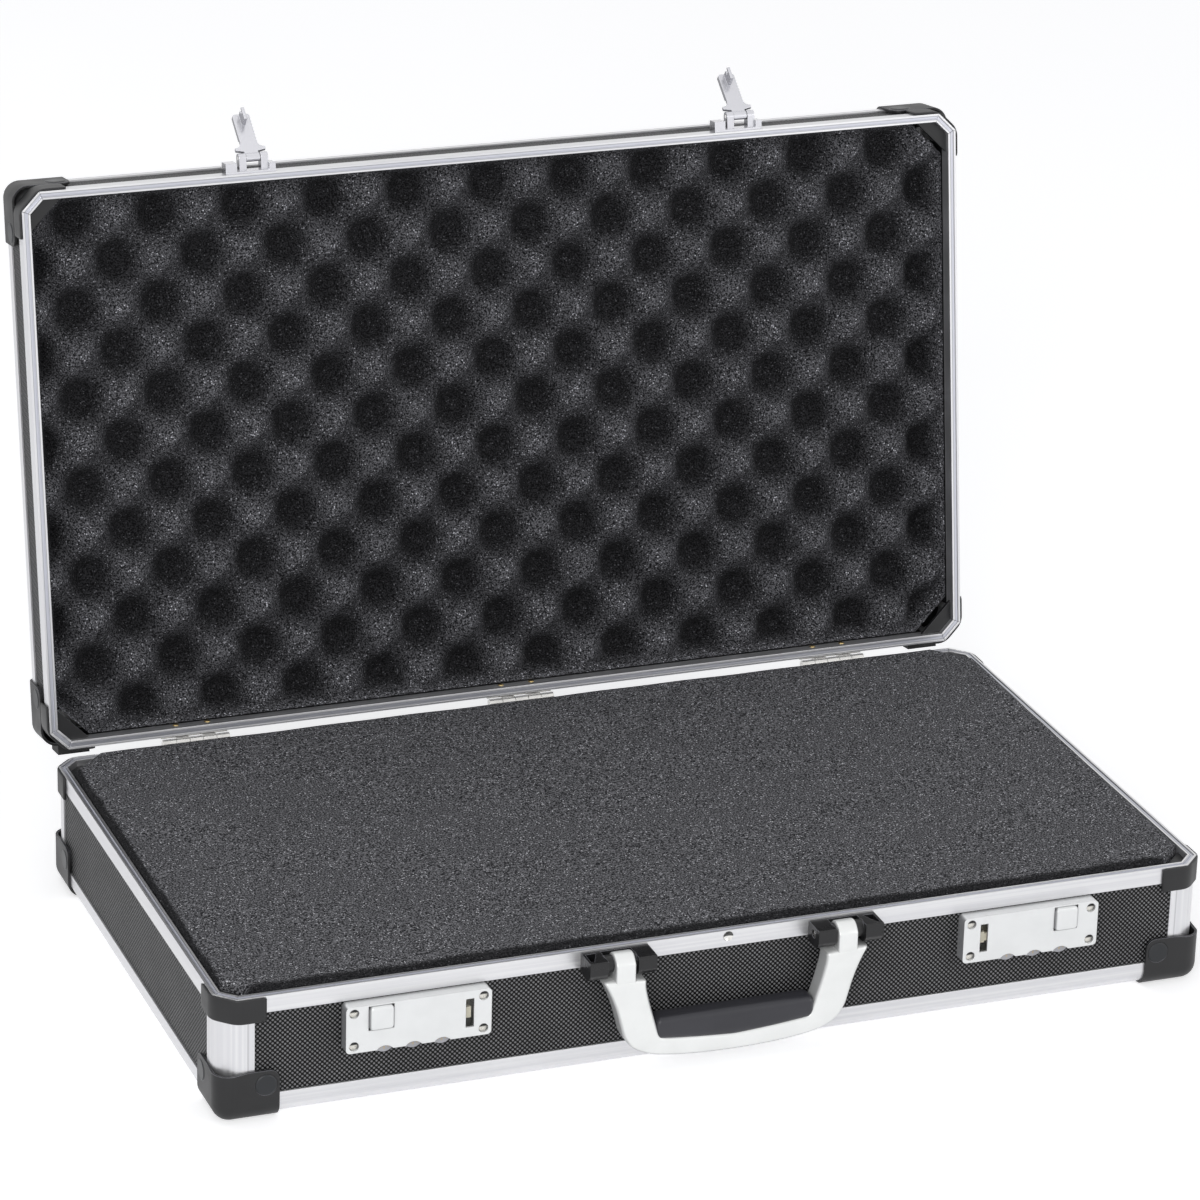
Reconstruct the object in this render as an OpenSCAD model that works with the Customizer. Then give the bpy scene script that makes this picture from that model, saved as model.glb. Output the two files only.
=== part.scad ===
// Hard laptop case with an aluminium frame, a hinged lid, two latch locks and a carrying handle.
// X runs along the width, the front with the handle faces -Y and +Z is up.
// The case stands on its base with the lid laid open; the lid, latches and handle are drawn at rest.

/* [Case] */
// Outer width of the shell
case_w = 600; // [570:5:700]
// Outer depth of the shell
case_d = 340; // [300:5:420]
// Height of the base shell without its corner protectors
base_h = 74.5; // [72:0.5:120]
// Height of the lid shell without its corner protectors
lid_h = 45; // [44:0.5:80]
// Cut across each corner of the rim
corner_cut = 11; // [10:0.5:12]
// Gap between the two rims when the case is shut
rim_gap = 0.4; // [0.3:0.1:1]
// Angle of the lid at its open stop
lid_open = 98.6; // [92:0.2:104]

/* [Rim and panels] */
// Thickness of the outer skin of every frame extrusion
skin = 1.2; // [1:0.1:1.4]
// Thickness of the wall panels
panel_t = 3; // [2.5:0.1:3.4]
// Thickness of the inner flange of every frame extrusion
lip = 0.8; // [0.6:0.1:1]
// Height of the rim band
band_h = 10; // [9.6:0.1:10.5]
// Thickness of the solid bar on top of the rim
rim_bar = 3; // [2.6:0.1:3.2]
// Width of the groove along the top of the rim
groove_w = 1.8; // [1:0.1:2]
// Depth of the groove along the top of the rim
groove_d = 0.6; // [0.3:0.1:1]
// Width of the mitre joints at the rim corners
mitre = 0.2; // [0.15:0.05:0.4]

/* [Edge rails and corner posts] */
// Outer radius of the lower edge rails
rail_r = 9; // [8.8:0.1:9.4]
// Leg length of the lower edge rails
rail_leg = 14.5; // [14:0.1:15]
// Outer radius of the corner posts
post_r = 17; // [16:0.5:18]
// Leg length of the corner posts
post_leg = 21; // [20.5:0.1:21.5]
// Clearance at the ends of rails and wall panels
end_gap = 0.5; // [0.3:0.1:1]

/* [Corner protectors] */
// Wall thickness of the corner protectors
cap_t = 1.5; // [1.3:0.1:2]
// Inner edge radius of the corner protectors
cap_ri = 8.5; // [8:0.1:8.7]
// Reach of a protector from the corner of the shell
cap_leg = 35; // [34:0.5:40]
// Height of a protector above the underside of the shell
cap_h = 29.5; // [28.5:0.1:29.8]
// Dip of the protector's top edge beside the corner
cap_dip = 1.2; // [0.8:0.1:2]
// Corner radius of the protector's wings
wing_r = 6; // [3:0.5:6]
// Distance of a protector's rivet from the corner
rivet_leg = 27.3; // [27:0.1:28]
// Height of a protector's rivet above the underside of the shell
rivet_up = 20.8; // [19.5:0.1:21]
// Radius of the rivet heads
rivet_r = 6.3; // [5:0.1:6.3]
// Radius of the rivet shanks
rivet_shank = 2; // [1.5:0.1:2.2]
// Thickness of the plastic clips on the rim corners
clip_t = 1.5; // [1.2:0.1:2]
// Reach of a clip from the corner
clip_leg = 27.5; // [24:0.5:30]
// Lower edge of a clip below the rim plane
clip_h = 15; // [13:0.1:15.2]
// Leg length of the gusset plates inside the rim corners
gusset_leg = 20; // [16:0.5:22]
// Thickness of the gusset plates
gusset_t = 2.5; // [2:0.1:3]
// Depth of the gusset plates below the rim plane
gusset_drop = 4; // [3.2:0.1:4.5]
// Height of the rear feet above the protectors
foot_h = 6.5; // [5:0.5:7]
// Length of a rear foot
foot_w = 19.5; // [16:0.5:20]
// Width of a rear foot
foot_d = 15; // [12:0.5:15]

/* [Foam] */
// Clearance round the foam blocks
foam_gap = 0.8; // [0.7:0.1:1.5]
// Cut across the corners of the foam blocks
foam_cut = 21; // [20:0.5:26]
// Rise of the base foam above the rim at its front
foam_front = 2; // [1:0.2:3]
// Rise of the base foam above the rim at its rear
foam_rear = 5; // [4:0.2:5.2]
// Rise of the base foam's crown above its edges
foam_crown = 1.4; // [1:0.2:1.6]
// Depth of the lid foam's bumps
bump_d = 25; // [14:1:26]
// Spacing of the bumps along a row
bump_pitch = 52.4; // [44:0.2:60]
// Spacing of the rows of bumps
bump_row = 27.4; // [22:0.2:30]
// Offset of the bump pattern along a row
bump_x0 = 3.6; // [-20:0.2:20]
// Offset of the bump pattern across the rows
bump_y0 = 12; // [-20:0.2:20]
// Level of the lid foam's border, where 1 is the bumps' tips and -1 the hollows
border_level = 0.7; // [0:0.05:1]
// Width of the lid foam's raised border
border_w = 10; // [6:1:14]
// Depth of the bump tips behind the lid's rim plane
bump_in = 6.2; // [5.6:0.2:9]

/* [Locks] */
// Distance of each lock's middle from the shell's side
lock_in = 113.8; // [100:0.2:125]
// Width of a lock housing
lock_w = 85; // [84:0.5:90]
// Height of a lock housing
lock_h = 28.4; // [28:0.1:29]
// Top of a lock housing below the rim plane
lock_drop = 11; // [10.8:0.1:12]
// Height of a lock housing in front of the rim
lock_out = 7; // [6.8:0.1:7.2]
// Wall thickness of a lock housing
lock_wall = 1.5; // [1.3:0.1:1.6]
// Corner radius of a lock housing
lock_r = 2.5; // [1.8:0.1:4]
// Distance of the latch slot from the lock's inner end
slot_in = 12.8; // [12.5:0.1:13.4]
// Width of the latch slot
slot_w = 4.8; // [4.4:0.1:5]
// Length of the latch slot
slot_h = 17.6; // [17:0.1:18.5]
// Distance of the push button's middle from the lock's outer end
button_in = 20.5; // [19.6:0.1:21]
// Side of the square push button
button_w = 14.5; // [13:0.1:14.6]
// Height of the push button above the lock's face
button_out = 2; // [1.5:0.1:2.4]
// Travel of the push button
button_travel = 2.5; // [2:0.1:2.5]
// Travel of the catch that the button moves
catch_travel = 4; // [3.6:0.1:4.2]
// Radius of the number dials
dial_r = 6.1; // [5.8:0.05:6.2]
// Thickness of the number dials
dial_t = 3; // [2.6:0.1:3.1]
// Spacing of the number dials
dial_pitch = 16.8; // [16:0.1:17.2]
// Height of the dial centres above the lock's lower edge
dial_up = 3.9; // [3.6:0.1:4]
// Distance of a lock screw from the lock's end
screw_in = 4.7; // [4.3:0.1:4.9]
// Distance of a lock screw from the lock's upper and lower edge
screw_edge = 4.2; // [3.9:0.1:4.6]
// Depth of the recesses that the lock screws sit in
screw_sink = 2.6; // [1.6:0.1:3]
// Shank radius of the screws
screw_r = 1.3; // [1:0.1:1.5]
// Running clearance of turning parts on their pins
run_gap = 0.05; // [0.03:0.01:0.08]
// Clearance of sliding and loose parts
slide_gap = 0.2; // [0.15:0.05:0.3]

/* [Handle] */
// Distance of a handle bracket's middle from the middle of the case
bracket_x = 69; // [66:0.5:74]
// Width of a handle bracket
bracket_w = 40; // [39.6:0.1:42]
// Width of a bracket's inner ear
ear_in_w = 11; // [9:0.5:11]
// Width of a bracket's outer ear
ear_out_w = 11; // [10:0.5:11]
// Height of the handle pivot in front of the rim
pivot_out = 8.3; // [8.1:0.1:8.6]
// Depth of the handle pivot below the rim plane
pivot_drop = 5.7; // [5.5:0.1:5.9]
// Radius of the bracket ears
ear_r = 7.5; // [7:0.1:7.6]
// Radius of the handle's pivot pins
pivot_r = 2.5; // [2:0.1:3]
// Radius of the handle arms' heads
head_r = 6.3; // [5.5:0.1:6.3]
// Width of the handle arms' heads
head_w = 12; // [11:0.1:12.4]
// Depth of the handle frame
frame_t = 12.5; // [11:0.1:12.6]
// Drop of the handle's lower edge below the rim plane
handle_drop = 67.5; // [66:0.5:76]
// Height of the handle frame's lower bar in its middle
bar_h = 10.5; // [9:0.1:11.5]
// Height of the rubber grip at its ends
grip_h = 8.7; // [8:0.1:9.5]

/* [Latch hasps] */
// Pivot of a hasp in front of the lid's rim
hasp_out = 8.7; // [8.6:0.1:8.9]
// Pivot of a hasp above the lid's rim plane
hasp_up = 5.5; // [5.3:0.1:5.7]
// Radius of a hasp's barrel
barrel_r = 2.6; // [2.4:0.1:2.8]
// Width of a hasp's barrel
barrel_w = 8.6; // [8:0.1:9]
// Length of a hasp from its pivot
hasp_l = 31; // [30:0.1:31.5]
// Width of a hasp's shoulders
hasp_w = 18.4; // [17:0.1:18.6]
// Width of a hasp's hook plate
hook_w = 10.4; // [9:0.1:11]
// Thickness of a hasp's plate
hasp_t = 1.8; // [1.6:0.1:1.9]
// Thickness of a hasp's fin
fin_t = 1.8; // [1.4:0.1:2]
// Opening angle of a hasp
hasp_open = 135; // [120:1:140]

/* [Hinges] */
// Distance of the outer hinges from the shell's sides
hinge_in = 90; // [75:1:120]
// Length of a hinge
hinge_l = 42; // [38:0.5:48]
// Radius of a hinge's barrel
knuckle_r = 3; // [2.8:0.1:3]
// Radius of a hinge's pin
pin_r = 1.25; // [1:0.05:1.4]
// Distance of the hinge axis behind the rear wall
axis_back = 3.9; // [3.8:0.05:4.1]
// Depth of the hinge axis below the base's rim plane
axis_drop = 1; // [0.9:0.05:1.1]
// Thickness of the hinge leaves
leaf_t = 1.2; // [1:0.1:1.3]
// Distance of a hinge rivet from the hinge's middle
hinge_rivet_x = 10; // [8:0.5:14]
// Depth of the hinge rivets from each rim plane
hinge_rivet_t = 7; // [6.8:0.1:7.2]

/* [Hidden] */
$fn = 48;

// Frame sections
rim_w = skin + panel_t + lip;
rim_z = base_h + cap_t;
post_seat = post_r + end_gap;
rail_end = rail_leg + end_gap;
groove_in = (rim_w - groove_w) / 2 - 0.3;

// Hinge axis in the case's own frame
hinge_x = case_w / 2 - hinge_in;
hinge_y = case_d / 2 + axis_back;
hinge_z = rim_z - axis_drop;
hinge_t = axis_drop + rim_gap;
leaf_gap = knuckle_r + 0.3;
leaf_end = band_h - 0.4;
knuckle_gap = 0.3;
knuckle_l = (hinge_l - 4 * knuckle_gap) / 5;
web_in = axis_back - 0.4;

// Overall depth at rest, from the handle's front to the outer corner of the open lid
cap_ro = cap_ri + cap_t;
handle_front = pivot_out - head_r + 1.6 + frame_t;
grip_front = handle_front + 0.4;
front_y = -case_d / 2 - grip_front;
edge_y = -case_d / 2 + cap_ri - hinge_y;
edge_z = rim_z + rim_gap + lid_h - cap_ri - hinge_z;
rear_y = hinge_y + edge_y * cos(lid_open) + edge_z * sin(lid_open) + cap_ro;
origin_y = (front_y + rear_y) / 2;

// Lock details, u outwards from the lock's middle and z from the rim plane
lock_x = case_w / 2 - lock_in;
slot_u = lock_w / 2 - slot_in;
button_u = lock_w / 2 - button_in;
screw_u = lock_w / 2 - screw_in;
screw_v = lock_h / 2 - screw_edge;
lock_z = -lock_drop - lock_h / 2;
lock_low = -lock_drop - lock_h;
plate_t = 1;
plate_y = skin - plate_t;
slot_top = -lock_drop - 4.9;
button_z = -lock_drop - 1.05 - button_w / 2;
button_back = lock_out - lock_wall - slide_gap;
flange_t = 1;
dial_u = 3;
dial_z = lock_low + dial_up;
dial_front = lock_out - lock_wall - slide_gap;
dial_back = dial_front - dial_t;
dial_room = 0.3;
axle_r = 1;
boss_r = dial_r + 1.2;
ridge_w = 53;
ridge_h = 0.8;
catch_w = 3.4;
catch_z0 = -lock_drop - 18.1;
catch_z1 = -lock_drop - 11.3;
catch_p0 = lock_out - 5.2;
catch_p1 = lock_out - 3.2;
slider_z0 = catch_z0 + 1.1;
slider_z1 = catch_z1 - 1.2;
slider_end = button_u - button_w / 2 - 1.5 - catch_travel - 1.2;
hasp_x = lock_x - slot_u;
screw_head = 2.5;
screw_head_t = 0.9;
nut_r = 3;
nut_t = 0.8;
bracket_screw_t = 6.5;

// Hasp details, s down from the pivot and p out from the case front
plate_p0 = lock_out + 0.3;
plate_p1 = plate_p0 + hasp_t;
pin_h = 1.2;
hasp_ear_w = 4.5;
hasp_ear_r = 2.9;
ear_gap = barrel_w + 0.4;
fin_top = hasp_up + rim_gap - slot_top + 0.6;
fin_p0 = lock_out - 6.7;
notch_s = hasp_up + rim_gap - catch_z1 - 0.3;
notch_p0 = catch_p0 - 0.3;
notch_p1 = catch_p1 + 0.3;

// Foam details
foam_in = rim_w + foam_gap;
foam_x = case_w / 2 - foam_in;
foam_y = case_d / 2 - foam_in;
foam_seat = rim_w + 0.3;

// Placement

module at_origin() translate([0, -origin_y, 0]) children();

module base_half() translate([0, 0, rim_z]) mirror([0, 0, 1]) children();

module lid_turn() translate([0, hinge_y, hinge_z]) rotate([-lid_open, 0, 0])
  translate([0, -hinge_y, -hinge_z]) children();

module lid_half() translate([0, 0, rim_z + rim_gap]) children();

module on_base() at_origin() base_half() children();

module on_lid() at_origin() lid_turn() lid_half() children();

// A corner piece is drawn at the front left corner: x and y run inwards from the shell's faces.
module at_corner(sx, sy) translate([sx * case_w / 2, sy * case_d / 2, 0])
  mirror([sx > 0 ? 1 : 0, 0, 0]) mirror([0, sy > 0 ? 1 : 0, 0]) children();

module corners() for (sx = [-1, 1], sy = [-1, 1]) at_corner(sx, sy) children();

// Turns a corner piece so that its x and y change places.
module swapped() mirror([1, -1, 0]) children();

// Moves a corner piece so that z runs up from the underside of a half of height h.
module from_under(h) translate([0, 0, h]) mirror([0, 0, 1]) children();

// Front of the case: y is 0 on the rim's front and negative outwards, z is 0 on the rim plane.
module at_front(x, flip) at_origin() translate([x, -case_d / 2, rim_z])
  mirror([flip ? 1 : 0, 0, 0]) children();

// A bar along Y from p0 to p1 in front of the rim.
module peg(x, z, r, p0, p1) translate([x, -p0, z]) rotate([90, 0, 0]) cylinder(r = r, h = p1 - p0);

module box_p(x0, x1, p0, p1, z0, z1) translate([x0, -p1, z0]) cube([x1 - x0, p1 - p0, z1 - z0]);

// Shared frame pieces, z runs from the rim plane towards the shell's outer face

module outline(inset) {
  w = case_w / 2 - inset;
  d = case_d / 2 - inset;
  c = corner_cut - inset * (2 - sqrt(2));
  polygon([[c - w, -d], [w - c, -d], [w, c - d], [w, d - c], [w - c, d], [c - w, d], [-w, d - c],
    [-w, c - d]]);
}

module ring(i0, i1, t0, t1) translate([0, 0, t0]) linear_extrude(t1 - t0) difference() {
  outline(i0);
  outline(i1);
}

module mitre_cut(x, y, turn) translate([x, y, -1]) rotate([0, 0, turn])
  translate([-4, -mitre / 2, 0]) cube([rim_w + 8, mitre, band_h + 2]);

module rim() difference() {
  union() {
    ring(0, rim_w, 0, rim_bar);
    ring(0, skin, 0, band_h);
    ring(rim_w - lip, rim_w, 0, band_h);
  }
  ring(groove_in, groove_in + groove_w, -1, groove_d);
  corners() {
    mitre_cut(0, corner_cut, 22.5);
    mitre_cut(corner_cut, 0, 67.5);
  }
}

// Section of a rail or a post: a rounded skin with two seats for panel edges.
module edge_profile(r, leg, seat) {
  difference() {
    union() {
      intersection() {
        translate([r, r]) circle(r = r);
        square(r);
      }
      translate([0, r]) square([r, leg - r]);
      translate([r, 0]) square([leg - r, r]);
    }
    translate([r, r]) circle(r = r - skin);
    translate([skin, r]) square(2 * leg);
    translate([r, skin]) square(2 * leg);
  }
  for (m = [0, 1]) mirror([m, -m]) {
    translate([skin / 2, seat - skin]) square([rim_w - skin / 2, skin]);
    translate([rim_w - lip, seat - skin]) square([lip, leg - seat + skin]);
  }
}

module rails(h) for (m = [0, 1]) {
  mirror([0, m, 0]) translate([0, -case_d / 2, h]) mirror([0, 0, 1]) rotate([90, 0, 90])
    linear_extrude(case_w - 2 * rail_end, center = true) edge_profile(rail_r, rail_leg, rail_r);
  mirror([m, 0, 0]) translate([-case_w / 2, 0, h]) mirror([0, 0, 1]) rotate([90, 0, 0])
    linear_extrude(case_d - 2 * rail_end, center = true) edge_profile(rail_r, rail_leg, rail_r);
}

module posts(h) corners() translate([0, 0, band_h]) linear_extrude(h - rail_leg - band_h)
  edge_profile(post_r, post_leg, post_seat);

// A bar through the wall at a corner, x from the corner and up from the underside.
module corner_bar(x, up, r, b0, b1) translate([x, b0, up]) rotate([-90, 0, 0])
  cylinder(r = r, h = b1 - b0);

module long_panel(h, side) difference() {
  translate([-case_w / 2 + post_seat, side > 0 ? case_d / 2 - skin - panel_t : -case_d / 2 + skin,
    rim_bar]) cube([case_w - 2 * post_seat, panel_t, h - rail_r - rim_bar]);
  for (sx = [-1, 1]) at_corner(sx, side) from_under(h) if (side < 0)
    corner_bar(rivet_leg, rivet_up, rivet_shank + run_gap, 0, rim_w);
  else
    corner_bar(foot_peg, foot_up, rivet_shank + run_gap, 0, rim_w);
}

module short_panels(h) for (sx = [-1, 1]) difference() {
  translate([sx > 0 ? case_w / 2 - skin - panel_t : -case_w / 2 + skin, -case_d / 2 + post_seat,
    rim_bar]) cube([panel_t, case_d - 2 * post_seat, h - rail_r - rim_bar]);
  for (sy = [-1, 1]) at_corner(sx, sy) from_under(h) swapped()
    corner_bar(rivet_leg, rivet_up, rivet_shank + run_gap, 0, rim_w);
}

module flat_panel(h) translate([-case_w / 2 + rail_r, -case_d / 2 + rail_r, h - skin - panel_t])
  cube([case_w - 2 * rail_r, case_d - 2 * rail_r, panel_t]);

// Protector: a shell over the corner with a wing on each wall and one below
dip_in = 9;
dip_out = 17;
foot_up = cap_h - 3 - foot_d / 2;
foot_in = 9;
foot_peg = foot_in + foot_w - 4.5;
head_in = 0.3;

module round_block(r, e, l) {
  k = r - e;
  translate([k, k, k]) sphere(r = r);
  for (a = [[0, 0, 0], [0, 90, 0], [-90, 0, 0]]) translate([k, k, k]) rotate(a)
    cylinder(r = r, h = l - k);
  translate([-e, k, k]) cube([l + e, l - k, l - k]);
  translate([k, -e, k]) cube([l - k, l + e, l - k]);
  translate([k, k, -e]) cube([l - k, l - k, l + e]);
}

module wing() translate([0, cap_ro, 0]) rotate([90, 0, 0]) linear_extrude(cap_ro + 2) difference() {
  union() {
    translate([-2, -2]) square([cap_leg + 2, cap_h + 2 - wing_r]);
    translate([-2, -2]) square([cap_leg + 2 - wing_r, cap_h + 2]);
    translate([cap_leg - wing_r, cap_h - wing_r]) circle(r = wing_r);
  }
  translate([0, cap_h]) polygon([[-3, -cap_dip], [dip_in, -cap_dip], [dip_out, 0], [dip_out, 1],
    [-3, 1]]);
}

module cap(foot) difference() {
  union() {
    intersection() {
      difference() {
        round_block(cap_ro, cap_t, 2 * cap_leg);
        round_block(cap_ri, 0, 3 * cap_leg);
      }
      union() {
        wing();
        swapped() wing();
        translate([0, 0, -2]) linear_extrude(cap_ri + 2) polygon([[-2, -2], [cap_leg, -2],
          [cap_leg, 10], [10, cap_leg], [-2, cap_leg]]);
      }
    }
    if (!foot) cap_boss();
    swapped() cap_boss();
  }
  if (!foot) cap_hole();
  else corner_bar(foot_peg, foot_up, rivet_shank + run_gap, -2 * cap_t, 2 * skin);
  swapped() cap_hole();
}

// Boss behind a rivet, clear of the post and the rail
module cap_boss() intersection() {
  corner_bar(rivet_leg, rivet_up, rivet_r + 1, -head_in, skin);
  translate([post_leg + end_gap, -cap_t, rail_leg + end_gap]) cube([cap_leg, 2 * cap_t + skin, cap_h]);
}

module cap_hole() {
  corner_bar(rivet_leg, rivet_up, rivet_r + 0.1, -2 * cap_t, -head_in);
  corner_bar(rivet_leg, rivet_up, rivet_shank + run_gap, -2 * cap_t, 2 * skin);
}

module caps(h) for (sx = [-1, 1], sy = [-1, 1]) at_corner(sx, sy) from_under(h) cap(sy > 0);

module cap_rivet() translate([rivet_leg, 0, rivet_up]) rotate([-90, 0, 0]) {
  translate([0, 0, -cap_t - 0.4]) cylinder(r1 = rivet_r - 0.8, r2 = rivet_r, h = 0.4);
  translate([0, 0, -cap_t]) cylinder(r = rivet_r, h = cap_t - head_in);
  translate([0, 0, -head_in - 0.1]) cylinder(r = rivet_shank, h = rim_w - lip + head_in + 0.2);
  translate([0, 0, rim_w - lip]) cylinder(r = 2 * rivet_shank, h = 0.7);
}

module cap_rivets(h) for (sx = [-1, 1], sy = [-1, 1]) at_corner(sx, sy) from_under(h) {
  if (sy < 0) cap_rivet();
  swapped() cap_rivet();
}

module clips() difference() {
  intersection() {
    ring(-clip_t, 0, 0.4, clip_h);
    corners() translate([-clip_t - 1, -clip_t - 1, 0]) cube([clip_leg + clip_t + 1,
      clip_leg + clip_t + 1, clip_h + 1]);
  }
  corners() translate([post_r, post_r, band_h]) cylinder(r = post_r + 0.1, h = clip_h);
}

module gussets() {
  c = corner_cut - rim_w * (2 - sqrt(2));
  corners() translate([rim_w, rim_w, gusset_drop]) linear_extrude(gusset_t) polygon([[c, 0],
    [gusset_leg, 0], [0, gusset_leg], [0, c]]);
}

module feet(h) for (sx = [-1, 1]) at_corner(sx, 1) from_under(h) {
  translate([foot_in, -cap_t - foot_h, foot_up - foot_d / 2]) cube([foot_w, foot_h, foot_d]);
  corner_bar(foot_peg, foot_up, rivet_shank, -cap_t - 1, rim_w - lip + 0.1);
  corner_bar(foot_peg, foot_up, 1.4 * rivet_shank, rim_w - lip, rim_w - lip + 0.7);
}

// Base shell

module base_bottom_panel() color("#8e8e90") on_base() flat_panel(base_h);

module base_front_panel() color("#8e8e90") difference() {
  on_base() long_panel(base_h, -1);
  for (s = [-1, 1]) at_front(s * lock_x, s < 0) lock_screw_bars(screw_r + run_gap, -rim_w, 0);
  for (s = [-1, 1]) at_front(s * bracket_x, s < 0) bracket_screw_bars(screw_r + run_gap, -rim_w, 0);
}

module base_rear_panel() color("#8e8e90") on_base() difference() {
  long_panel(base_h, 1);
  hinge_rivet_bars(screw_r + run_gap, -rim_w, 0);
}

module base_side_panels() color("#8e8e90") on_base() short_panels(base_h);

module base_rim() color("#d4d6da") difference() {
  on_base() difference() {
    rim();
    hinge_rivet_bars(screw_r + run_gap, -2 * rim_w, 1);
  }
  for (s = [-1, 1]) at_front(s * bracket_x, s < 0)
    bracket_screw_bars(screw_r + run_gap, -rim_w - 1, 1);
  at_front(0, false) peg(0, -stud_z, stud_r + run_gap, -skin, 1);
}

module base_edge_rails() color("#d4d6da") on_base() rails(base_h);

module base_corner_posts() color("#d4d6da") on_base() posts(base_h);

module base_corner_caps() color("#3c3c3e") on_base() caps(base_h);

module base_corner_rivets() color("#444446") on_base() cap_rivets(base_h);

module base_rim_clips() color("#2e2e30") on_base() clips();

module base_corner_gussets() color("#1c1c1e") on_base() gussets();

module base_rear_feet() color("#2a2a2c") on_base() feet(base_h);

// Blind stud in the middle of the rim's front
stud_z = 3.7;
stud_r = 2.9;

module front_stud() color("#c9cacc") at_front(0, false) difference() {
  peg(0, -stud_z, stud_r, -skin, 0.3);
  peg(0, -stud_z, stud_r - 0.8, -0.7, 1);
}

// Base foam: rings from the underside up the side, over the rolled edge and across the top
foam_rings = [[0, -rim_z + cap_t + foam_seat], [0, -3.2], [0.8, -1.7], [2.4, -0.7], [5, -0.2], [12, 0],
  [30, 0], [60, 0], [100, 0], [148, 0]];
side_n = [9, 2, 5, 2, 9, 2, 5, 2];

function foam_corner(i) = let(x = foam_x - i, y = foam_y - i, c = max(2, foam_cut - i * 0.586))
  [[c - x, -y], [x - c, -y], [x, c - y], [x, y - c], [x - c, y], [c - x, y], [-x, y - c],
    [-x, c - y]];

function foam_rise(p) = (foam_front + foam_rear) / 2 + (foam_rear - foam_front) / 2 * p[1] / foam_y
  + foam_crown * (1 - pow(p[0] / foam_x, 2)) * (1 - pow(p[1] / foam_y, 2));

function foam_ring(i, z, up) = let(q = foam_corner(i)) [for (k = [0:7], j = [0:side_n[k] - 1])
  let(p = q[k] + (q[(k + 1) % 8] - q[k]) * j / side_n[k]) [p[0], p[1], z + (up ? foam_rise(p) : 0)]];

module base_foam() color("#161618") at_origin() translate([0, 0, rim_z]) {
  n = len(foam_ring(0, 0, false));
  m = len(foam_rings);
  pts = concat([for (k = [0:m - 1]) each foam_ring(foam_rings[k][0], foam_rings[k][1], k > 0)],
    [[0, 0, foam_rise([0, 0])], [0, 0, foam_rings[0][1]]]);
  sides = [for (k = [0:m - 2], j = [0:n - 1]) let(a = k * n + j, b = k * n + (j + 1) % n)
    each [[a, a + n, b + n], [a, b + n, b]]];
  under = [for (j = [0:n - 1]) [m * n + 1, j, (j + 1) % n]];
  top = [for (j = [0:n - 1]) [m * n, (m - 1) * n + (j + 1) % n, (m - 1) * n + j]];
  polyhedron(pts, concat(sides, under, top));
}

// Lid foam: a block whose free face is a staggered field of bumps
grid_x = 42;
grid_y = 24;
lid_foam_h = lid_h - foam_seat - bump_in;

function swell(x, y) = cos(360 * (x + bump_x0) / bump_pitch) * cos(180 * (y + bump_y0) / bump_row);

function to_border(x, y) = min(foam_x - abs(x), foam_y - abs(y),
  (foam_x + foam_y - foam_cut - abs(x) - abs(y)) / sqrt(2));

function bump(x, y) = lid_foam_h - bump_d / 2 * (1 - max(swell(x, y),
  border_level - (1 + border_level) * min(1, to_border(x, y) / border_w)));

function row_y(j) = foam_y * (2 * j / grid_y - 1);

function row_x(j) = foam_x - max(0, abs(row_y(j)) - foam_y + foam_cut);

function rim_index(k) = k < grid_x ? k : k < grid_x + grid_y ? grid_x + (k - grid_x) * (grid_x + 1)
  : k < 2 * grid_x + grid_y ? grid_y * (grid_x + 1) + 2 * grid_x + grid_y - k
  : (2 * grid_x + 2 * grid_y - k) * (grid_x + 1);

module lid_foam() color("#161618") on_lid() translate([0, 0, lid_h - foam_seat]) mirror([0, 0, 1]) {
  w = grid_x + 1;
  n = 2 * (grid_x + grid_y);
  g = [for (j = [0:grid_y], i = [0:grid_x]) let(x = row_x(j) * (2 * i / grid_x - 1), y = row_y(j))
    [x, y, bump(x, y)]];
  q = [for (k = [0:n - 1]) let(p = g[rim_index(k)]) [p[0], p[1], 0]];
  s = len(g);
  face = [for (j = [0:grid_y - 1], i = [0:grid_x - 1]) let(a = j * w + i)
    each [[a, a + w + 1, a + 1], [a, a + w, a + w + 1]]];
  wall = [for (k = [0:n - 1]) let(a = rim_index(k), b = rim_index((k + 1) % n), c = (k + 1) % n)
    each [[s + k, a, b], [s + k, b, s + c]]];
  back = [for (k = [0:n - 1]) [s + n, s + k, s + (k + 1) % n]];
  polyhedron(concat(g, q, [[0, 0, 0]]), concat(face, wall, back));
}

// Lid shell

module lid_top_panel() color("#8e8e90") on_lid() flat_panel(lid_h);

module lid_wall_panels() color("#8e8e90") on_lid() {
  difference() {
    long_panel(lid_h, -1);
    hasp_rivet_bars(pin_h + run_gap, -rim_w, 0);
  }
  difference() {
    long_panel(lid_h, 1);
    hinge_rivet_bars(screw_r + run_gap, -rim_w, 0);
  }
  short_panels(lid_h);
}

module lid_rim() color("#d4d6da") on_lid() difference() {
  rim();
  hinge_rivet_bars(screw_r + run_gap, -2 * rim_w, 1);
  hasp_rivet_bars(pin_h + run_gap, -rim_w - 1, 1);
}

module lid_edge_rails() color("#d4d6da") on_lid() rails(lid_h);

module lid_corner_posts() color("#d4d6da") on_lid() posts(lid_h);

module lid_corner_caps() color("#3c3c3e") on_lid() caps(lid_h);

module lid_corner_rivets() color("#444446") on_lid() cap_rivets(lid_h);

module lid_rim_clips() color("#2e2e30") on_lid() clips();

module lid_corner_gussets() color("#1c1c1e") on_lid() gussets();

module lid_rear_feet() color("#2a2a2c") on_lid() feet(lid_h);

// Hinges, drawn in half coordinates behind the rear wall

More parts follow.
